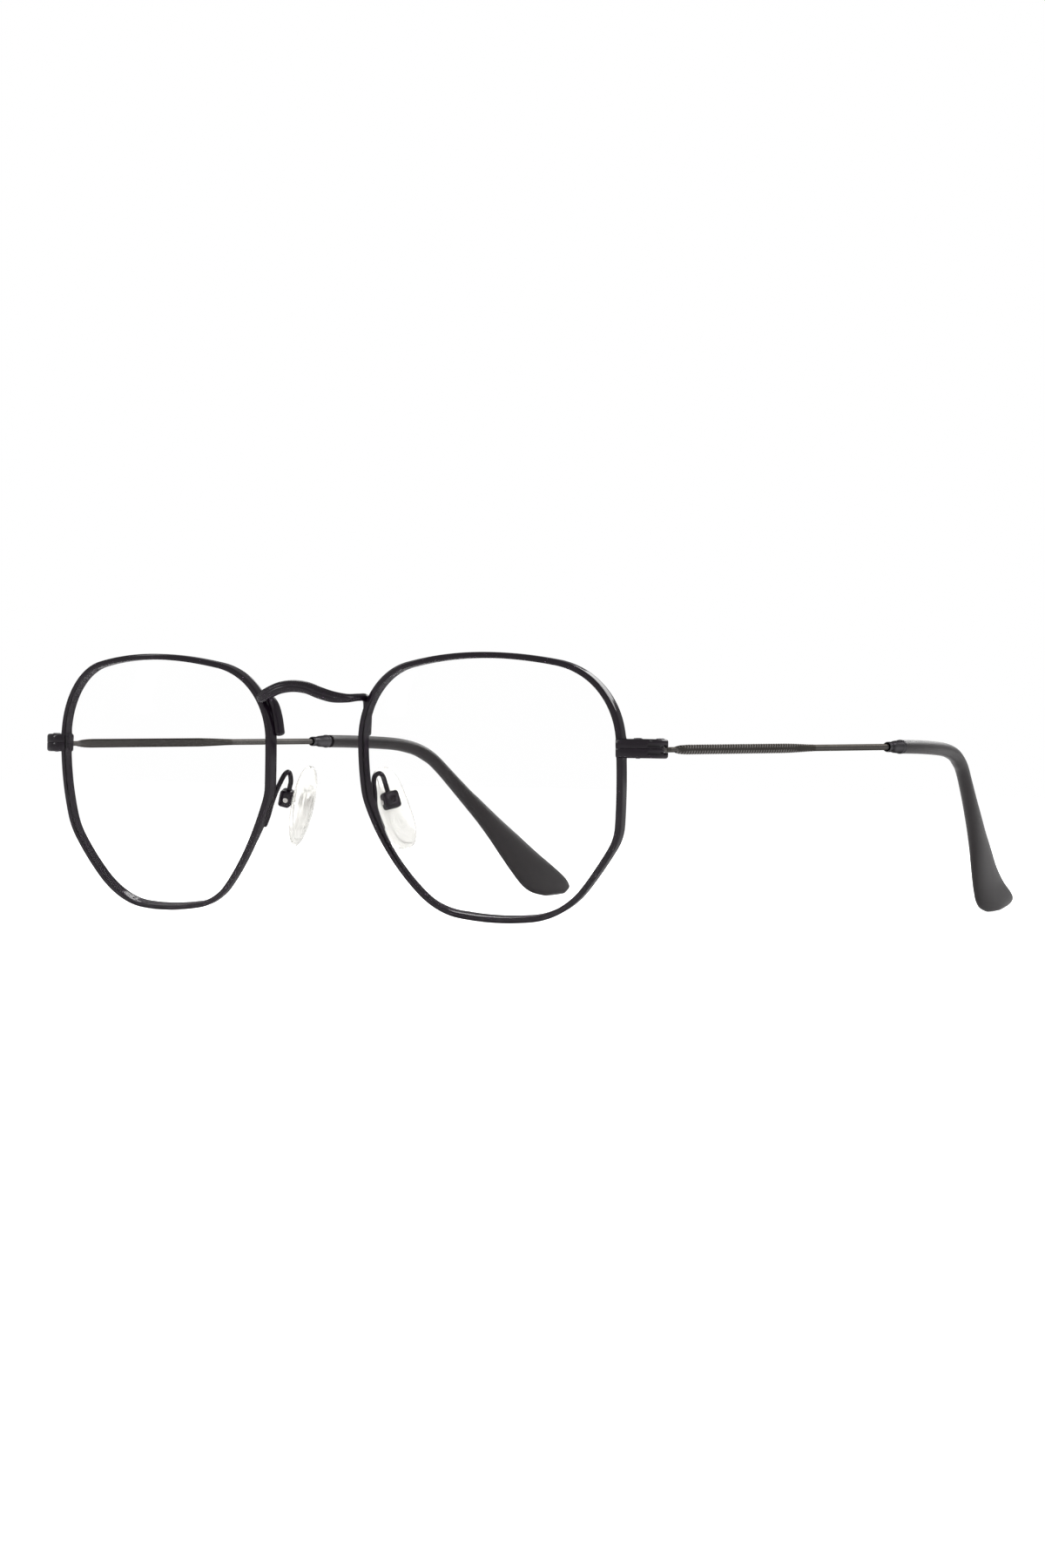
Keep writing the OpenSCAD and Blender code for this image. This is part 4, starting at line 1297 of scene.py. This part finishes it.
def nose_pad_rings():
    rings = []
    for a in spread(-pi / 2 + 0.02, pi / 2 - 0.02, 120):
        share, bulge = abs(cos(a)) ** PAD_EDGE, signed_power(sin(a), PAD_EDGE)
        ring = []
        for t in full_turn(128):
            y, z = (share * c for c in pad_outline(t))
            x = bulge * pad_thickness(y, z)
            if a > 0:
                x -= mould_ring(y, z)
            ring.append(PAD_CENTRE + Vector((x, y, z)))
        rings.append(ring)
    return rings


for side, word in SIDE_NAMES.items():
    pillow = solid("nose_pad_pillow_" + word, [skin(nose_pad_rings())], PAD_FRAME)
    pad = settled(pillow, SILICONE, side)
    pad.visible_shadow = False
    fitted(pad, "pad_" + word, "clear_silicone", "nose_pad_" + word)

# %% [markdown]
# ## Pad inserts
# Inside the silicone sits a stiff clear plate with a hole near its top, a window low down
# and ribs on either side of the post. The post carries the round lug that rocks on the
# cross screw. The ribs are stamped with the same tree as the teeth. Clear ribs would vanish
# inside the clear pad, so they take the bright steel as a painted highlight for the light that
# they catch.

# %% Pad inserts
PLATE_R, PLATE_H, PLATE_T = 1.5, 8.2, 0.8
HOLE_R, HOLE_Z = 0.75, 2.4
WINDOW_LO, WINDOW_HI = (-0.8, -3.1, -2), (0.8, -2.3, 2)
POST_LO, POST_HI = (PAD_CENTRE.x, -0.55, -0.5), (-0.3, 0.55, 0.5)
LUG = ((0.5, -0.55), (0.62, -0.45), (0.62, 0.45), (0.5, 0.55))
RIB_HALF = Vector((0.08, 0.1, 0.95))
RIB_X, RIB_Y, RIB_Z, RIB_RISE = (-0.75, -0.35, 0.05, 0.45), (-0.9, 0.9), 1.1, 1 / 4


def stadium(r, h, steps=20):
    """Upright stadium, a rectangle that ends in two half circles."""
    return arc((0, h / 2 - r), r, 0, pi, steps) + arc((0, r - h / 2), r, pi, 2 * pi, steps)


def pad_insert(name):
    facing_x = Matrix(((0, 0, 1, 0), (1, 0, 0, 0), (0, 1, 0, 0), (0, 0, 0, 1)))
    upright = Matrix.Translation(PAD_CENTRE) @ facing_x
    plate = extruded(stadium(PLATE_R, PLATE_H), -PLATE_T / 2, PLATE_T / 2)
    obj = solid(name, [plate], upright)
    hole = turned([(HOLE_R, -2), (HOLE_R, 2)], 32)
    cut(obj, hole, frame_matrix=upright @ Matrix.Translation((0, HOLE_Z, 0)))
    cut(obj, block(WINDOW_LO, WINDOW_HI), frame_matrix=upright)
    softened(obj, 0.1, angle=50)
    post = solid("post", [block(POST_LO, POST_HI)])
    lug = solid("lug", [turned(LUG, 32)], Matrix.Rotation(-pi / 2, 4, "X"))
    joined(obj, post, lug)
    obj.data.transform(PAD_FRAME)
    return obj


def insert_ribs(name):
    rib = softened(solid("rib", [block(-RIB_HALF, RIB_HALF)]), 0.04)
    turn = PAD_FRAME.to_euler("XYZ")
    spots = [
        (PAD_FRAME @ (PAD_CENTRE + Vector((x, y, RIB_Z + x * RIB_RISE))), turn, FULL_SIZE)
        for y in RIB_Y for x in RIB_X
    ]
    # The bright steel on the clear ribs is a painted highlight for the light that they catch.
    return stamped(name, rib, spots, BRIGHT_STEEL_AND_RIB_HIGHLIGHT)


for side, word in SIDE_NAMES.items():
    insert = settled(pad_insert("pad_insert_" + word), HARD_CLEAR, side, sharp=35)
    insert.visible_shadow = False
    fitted(insert, "pad_" + word, "clear_insert", "pad_core_" + word)
    ribs = settled(insert_ribs("pad_insert_ribs_" + word), BRIGHT_STEEL_AND_RIB_HIGHLIGHT, side, sharp=35)
    fitted(ribs, "pad_" + word, "bright_screw")

# %% [markdown]
# ## Temple wires
# A temple starts as a flat tongue on the hinge screw, narrows to a neck, swells to the
# milled shaft and runs out as a plain round wire into the collar of the tip. The shaft is
# a round bar flattened on two sides. Its section is scaled along the temple by a short
# table of distances from the hinge and radii.

# %% Shape of the temple wire
SHAFT_R, SHAFT_FLAT, WIRE_R = 0.8, 0.57, 0.57
TIP_START = 78.6
TEMPLE_RADII = (
    (1.6, 0.45), (4.3, 0.45), (4.5, 0.49), (4.8, 0.57), (5.9, 0.72), (7.9, 0.8), (38.5, 0.8),
    (41, 0.76), (43.75, 0.69), (46.5, 0.61), (49, WIRE_R), (TIP_START, WIRE_R),
)
TONGUE_R, TONGUE_T, TONGUE_W, TONGUE_END = 1.27, 0.75, 1.1, 2.5
TONGUE_FROM, TONGUE_TO = radians(65.4), radians(-245.4)
PIN_HOLE_R = 0.55


def temple_radius(y):
    for (y0, r0), (y1, r1) in zip(TEMPLE_RADII, TEMPLE_RADII[1:]):
        if y <= y1:
            return r0 + (r1 - r0) * max(0.0, y - y0) / (y1 - y0)
    return TEMPLE_RADII[-1][1]


def shaft_section(t, r=SHAFT_R):
    """Section of the shaft at angle t from the outer side, as (x, z)."""
    return max(-SHAFT_FLAT, min(SHAFT_FLAT, r * cos(t))), r * sin(t)


def temple_rings():
    """Rings of the wire, close together where its radius changes."""
    places = [1.6 + 0.2 * k for k in range(46)] + spread(11, 37, 26)
    places += spread(37.5, 50, 50) + spread(51, TIP_START, 20)
    return [
        [Vector((*shaft_section(t, temple_radius(y)), y)).xzy for t in full_turn(48)]
        for y in places
    ]


def tongue_plan():
    round_end = arc((0, 0), TONGUE_R, TONGUE_FROM, TONGUE_TO, 48)
    return [(TONGUE_W / 2, TONGUE_END)] + round_end + [(-TONGUE_W / 2, TONGUE_END)]


def temple_wire(name, side):
    tongue = solid(name, [extruded(tongue_plan(), -TONGUE_T / 2, TONGUE_T / 2)])
    cut(tongue, turned([(PIN_HOLE_R, -1), (PIN_HOLE_R, 1)], 40))
    softened(tongue, 0.09, angle=50)
    tongue.data.transform(HINGE_FRAME[side])
    return joined(tongue, solid("shaft", [skin(temple_rings())], TEMPLE_FRAME))


print("radius of the temple 20 mm behind its hinge:", temple_radius(20), "mm")

# %% [markdown]
# ### Teeth of the temples
# The teeth fade out as the shaft thins to the plain wire, and each pair is sized by the
# radius of the shaft at its place. The teeth take the paler plating, and the faces of the
# shaft between them take the plating painted darker, a painted shade of the grooves.

# %% Temple wires and their teeth
TOOTH_GAP, TOOTH_W, TOOTH_H = 0.8, 0.38, 0.06
TEETH_START, TEETH_END = 4.9, 48.2
FADE_START, FADE_OVER, FADE_TO = 42, 9, 0.35
GROOVE_SHADE_SPAN = (4.6, 48)


def temple_teeth(name):
    stamp = tooth_stamp(
        lambda t: (-shaft_section(t)[0], shaft_section(t)[1]),
        (radians(14), radians(84)), (radians(-14), radians(-84)),
        TOOTH_W, TOOTH_H, slant=radians(24),
    )
    turn = (TEMPLE_FRAME @ Matrix.Rotation(pi / 2, 4, "Z")).to_euler("XYZ")
    spots = []
    for k in range(int((TEETH_END - TEETH_START) / TOOTH_GAP)):
        y = TEETH_START + TOOTH_GAP * k
        share = temple_radius(y) / SHAFT_R
        fade = 1 if y < FADE_START else max(FADE_TO, 1 - (y - FADE_START) / FADE_OVER)
        depth = min(1.0, 0.97 * share + 0.03 * fade + 0.12 * (1 - share))
        spots.append((TEMPLE_FRAME @ Vector((0, y, 0)), turn, (fade, depth, share)))
    print(len(spots), "pairs of teeth on a temple")
    return stamped(name, stamp, spots, PALE_TOOTH_PLATING)


for side, word in SIDE_NAMES.items():
    body = "temple_" + word
    rod = settled(temple_wire("temple_rod_" + word, side), PLATING, side, sharp=35)
    # The milled stretch of the shaft takes the plating painted darker, a painted shade between the
    # teeth.
    rod.data.materials.append(GROOVE_SHADE_PLATING)
    for face in rod.data.polygons:
        along = face.center.y / MM - SHIFT_Y - HINGE.y
        face.material_index = int(GROOVE_SHADE_SPAN[0] < along < GROOVE_SHADE_SPAN[1])
    fitted(rod, body, "satin_grey_metal", "temple_wire_" + word)
    teeth = settled(temple_teeth("temple_teeth_" + word), PALE_TOOTH_PLATING, side, sharp=30)
    fitted(teeth, body, "satin_grey_metal")

# %% [markdown]
# ## Collars
# A turned black collar covers the joint between the wire and the tip: a dished mouth for the
# wire, a cone, a straight body and a narrow ring groove before the acetate. Its profile is a
# table of radii and distances from its mouth.

# %% Collars
COLLAR_START = 73.1
BORE_R = WIRE_R + 0.02
COLLAR_PROFILE = (
    (BORE_R, 1.1), (0.7, 0.3), (0.8, 0.04), (0.88, 0.06), (0.93, 0.25), (0.94, 1.0), (0.88, 1.15),
    (1.02, 2.2), (1.08, 2.4), (1.2, 4.3), (1.27, 4.4), (1.29, 4.6), (1.28, 4.85), (1.0, 4.93),
    (0.98, 5.3),
)


def collar(name):
    profile = [(r, COLLAR_START + along) for r, along in COLLAR_PROFILE]
    profile += [(1.05, TIP_START), (BORE_R, TIP_START), (BORE_R, COLLAR_START + 2)]
    rings = [[Vector((r * cos(t), y, r * sin(t))) for t in full_turn(48)] for r, y in profile]
    return solid(name, [skin(rings, closed=True)], TEMPLE_FRAME)


for side, word in SIDE_NAMES.items():
    ring = settled(collar("collar_ring_" + word), COLLAR_PLATING, side, sharp=30)
    fitted(ring, "temple_" + word, "black_lacquer", "tip_collar_" + word)

# %% [markdown]
# ## Temple tips
# The acetate tip is round where it meets the collar, bends down behind the ear and widens
# to a flat paddle. Rows of its lower and upper edge, its thickness and the slope of its
# section are joined by a smooth curve, and a rounded oval is laid on each. A row gives the
# lower edge (back, up), the upper edge (back, up), the thickness and the slope, measured
# from the bend.

# %% Temple tips
BEND_AT = 100.0
TIP_YAW, TIP_LEAN, YAW_RAMP = 0.15, 0.2, 14.0
TIP_RIBS = (
    (-21.4, -1.24, -21.4, 1.24, 2.48, 0.13), (-15, -1.35, -15, 1.15, 2.5, 0.13),
    (-9.1, -1.55, -8.9, 0.95, 2.5, 0.13), (-3.6, -1.85, -3.4, 0.65, 2.5, 0.13),
    (-0.3, -2.3, 0.3, 0.2, 2.5, 0.13), (2.6, -3, 3.4, -0.5, 2.55, 0.13),
    (4.8, -4, 6.1, -1.6, 2.6, 0.13), (6.6, -5, 8.6, -3.2, 2.6, 0.13),
    (8.9, -7, 11.6, -5.9, 2.6, 0.13), (11.6, -9.8, 15.6, -9.5, 2.65, 0.13),
    (14.6, -13.1, 20, -13.1, 2.7, 0.13), (17.6, -16.5, 24.2, -16.5, 2.7, 0.13),
    (20.2, -19.9, 28.9, -20, 2.7, 0.13), (22.5, -23.3, 33.6, -23.5, 2.6, 0.13),
    (24.6, -26.3, 38.2, -26.5, 2.5, 0.11), (26.2, -28.4, 41.6, -28.6, 2.3, 0.07),
    (27.9, -30.2, 42.99, -29.9, 2, 0.04), (30.2, -31.5, 42.79, -31, 1.5, 0.04),
    (33.5, -32.23, 40.5, -32.03, 0.8, 0.05),
)
SQUARE_FROM, SQUARE_OVER, SQUARER = 8, 5, 0.35


def tip_run(t):
    """Sideways run of the tip, which starts to lean in gently over a ramp."""
    return 0 if t < 0 else t * t / (2 * YAW_RAMP) if t < YAW_RAMP else t - YAW_RAMP / 2


def tip_place(s):
    """Middle of the tip at row s, its rib from lower to upper edge, and its thickness."""
    y0, z0, y1, z1, thick, slope = smooth_row(TIP_RIBS, s)
    rib = Vector((-slope * (y1 - y0), y1 - y0, z1 - z0))
    y = BEND_AT + y0
    x = -TIP_YAW * tip_run(y - TIP_START) - TIP_LEAN * max(0, -z0)
    return Vector((x, y, z0)) + rib / 2, rib, thick


def tip_rings():
    rings, last = [], len(TIP_RIBS) - 1
    for s in spread(0, last, 10 * last):
        middle, rib, thick = tip_place(s)
        ahead = tip_place(min(last, s + 0.1))[0] - tip_place(max(0, s - 0.1))[0]
        flat = rib.normalized().cross(ahead).normalized()
        power = 2 / (2 + SQUARER * kept_to_one((s - SQUARE_FROM) / SQUARE_OVER))
        rings.append([
            middle + rib / 2 * signed_power(cos(t), power)
            + flat * thick / 2 * signed_power(sin(t), power)
            for t in full_turn(56)
        ])
    return rings


for side, word in SIDE_NAMES.items():
    paddle = solid("ear_tip_" + word, [skin(tip_rings())], TEMPLE_FRAME)
    tip = settled(paddle, ACETATE, side, sharp=50)
    fitted(tip, "temple_" + word, "matt_tip", "temple_tip_" + word)

# %% [markdown]
# ## Floor
# The glasses stand on a plain pale floor in a white studio. The camera, reflections and the
# clear parts see the floor glow white, and light falls on it plainly, so it keeps the
# shadow of the glasses.

# %% Floor
FLOOR_REACH = 6.0
FLOOR_Z = -0.00002


def in_plain_sight(tree):
    """1 for the rays of the camera, off metal and through glass, 0 for all others."""
    path = add(tree, "ShaderNodeLightPath")
    seen = path.outputs["Is Camera Ray"]
    for ray in ("Is Glossy Ray", "Is Transmission Ray"):
        larger = add(tree, "ShaderNodeMath", {"operation": "MAXIMUM"}, {
            0: seen, 1: path.outputs[ray],
        })
        seen = larger.outputs[0]
    return seen


def pale_floor():
    material, tree, shader = finish(
        "pale_studio_floor", Roughness=0.9, Specular_IOR_Level=0.0, Base_Color=colour("#f4f4f4")
    )
    level = add(tree, "ShaderNodeMath", {"operation": "MULTIPLY"}, {
        0: in_plain_sight(tree), 1: 0.6,
    })
    glow = add(tree, "ShaderNodeEmission", inputs={
        "Color": (1, 1, 1, 1), "Strength": level.outputs[0],
    })
    both = add(tree, "ShaderNodeAddShader", inputs={
        0: shader.outputs["BSDF"], 1: glow.outputs["Emission"],
    })
    feed(tree, tree.nodes["Material Output"], Surface=both.outputs["Shader"])
    return material


floor_mesh = bpy.data.meshes.new("floor")
floor_mesh.from_pydata([
    (x * FLOOR_REACH, y * FLOOR_REACH, FLOOR_Z) for x, y in ((-1, -1), (1, -1), (1, 1), (-1, 1))
], [], [(0, 1, 2, 3)])
floor_mesh.materials.append(pale_floor())
floor = placed("floor", floor_mesh)
print("floor", 2 * FLOOR_REACH, "m wide")

# %% [markdown]
# ## World
# The world is white to the camera and in reflections, and half as strong as a light, so the
# colours come out as they are written.

# %% World
world = bpy.data.worlds.new("white_studio")
bpy.context.scene.world = world
world.use_nodes = True
sky_tree = world.node_tree
sky_tree.nodes.clear()
level = add(sky_tree, "ShaderNodeMapRange", inputs={
    "Value": in_plain_sight(sky_tree), "To Min": 0.5, "To Max": 1.0,
})
sky = add(sky_tree, "ShaderNodeBackground", inputs={
    "Color": (1, 1, 1, 1), "Strength": level.outputs["Result"],
})
add(sky_tree, "ShaderNodeOutputWorld", inputs={"Surface": sky.outputs["Background"]})
print("world is white to the camera")

# %% [markdown]
# ## Lamps
# Soft lamps give the lacquer its long highlights: one behind the glasses, one above, and one
# at each side of the camera. Each is a rectangle with its place in metres, its width and
# height, and its power in watts.

# %% Lamps
LAMPS = {
    "rear_softbox": ((0.03, 0.68, 0.45), 0.6, 0.2, 4.2),
    "overhead_softbox": ((-0.45, 0.3, 0.6), 0.35, 0.3, 3.2),
    "left_softbox": ((-0.85, -0.7, 0.35), 0.12, 0.5, 1.8),
    "right_softbox": ((0.8, -0.15, 0.5), 0.15, 0.3, 1.0),
}
AIM = Vector((0, 0, 0.02))

for name, (place, width, height, watts) in LAMPS.items():
    data = bpy.data.lights.new(name, "AREA")
    data.shape = "RECTANGLE"
    data.size, data.size_y = width, height
    data.energy = watts
    lamp = placed(name, data)
    lamp.location = place
    lamp.rotation_euler = (AIM - Vector(place)).to_track_quat("-Z", "Y").to_euler()
print(len(LAMPS), "softboxes")

# %% [markdown]
# ## Camera
# The photograph was taken with a long lens from the wearer's front left, almost level with
# the glasses. The place and the lens were found by matching mirrored points of both lenses.
# The camera's turn is given by the directions of its right, its top and its back.

# %% Camera
VIEW_RIGHT = Vector((0.81282, 0.58231, 0.01542))
VIEW_UP = Vector((-0.01357, -0.00753, 0.99988))
VIEW_BACK = Vector((0.58236, -0.81293, 0.00179))
VIEW_PLACE = (0.45154, -0.64130, 0.02477)

camera_data = bpy.data.cameras.new("long_lens")
camera_data.lens = 96.39
camera_data.sensor_width = 36
camera_data.clip_start, camera_data.clip_end = 0.01, 50
camera = placed("camera", camera_data)
view_turn = Matrix((VIEW_RIGHT, VIEW_UP, VIEW_BACK)).transposed().to_4x4()
camera.matrix_world = Matrix.Translation(VIEW_PLACE) @ view_turn
bpy.context.scene.camera = camera
bpy.context.scene.view_settings.view_transform = "Standard"
print("camera at", camera.location[:])
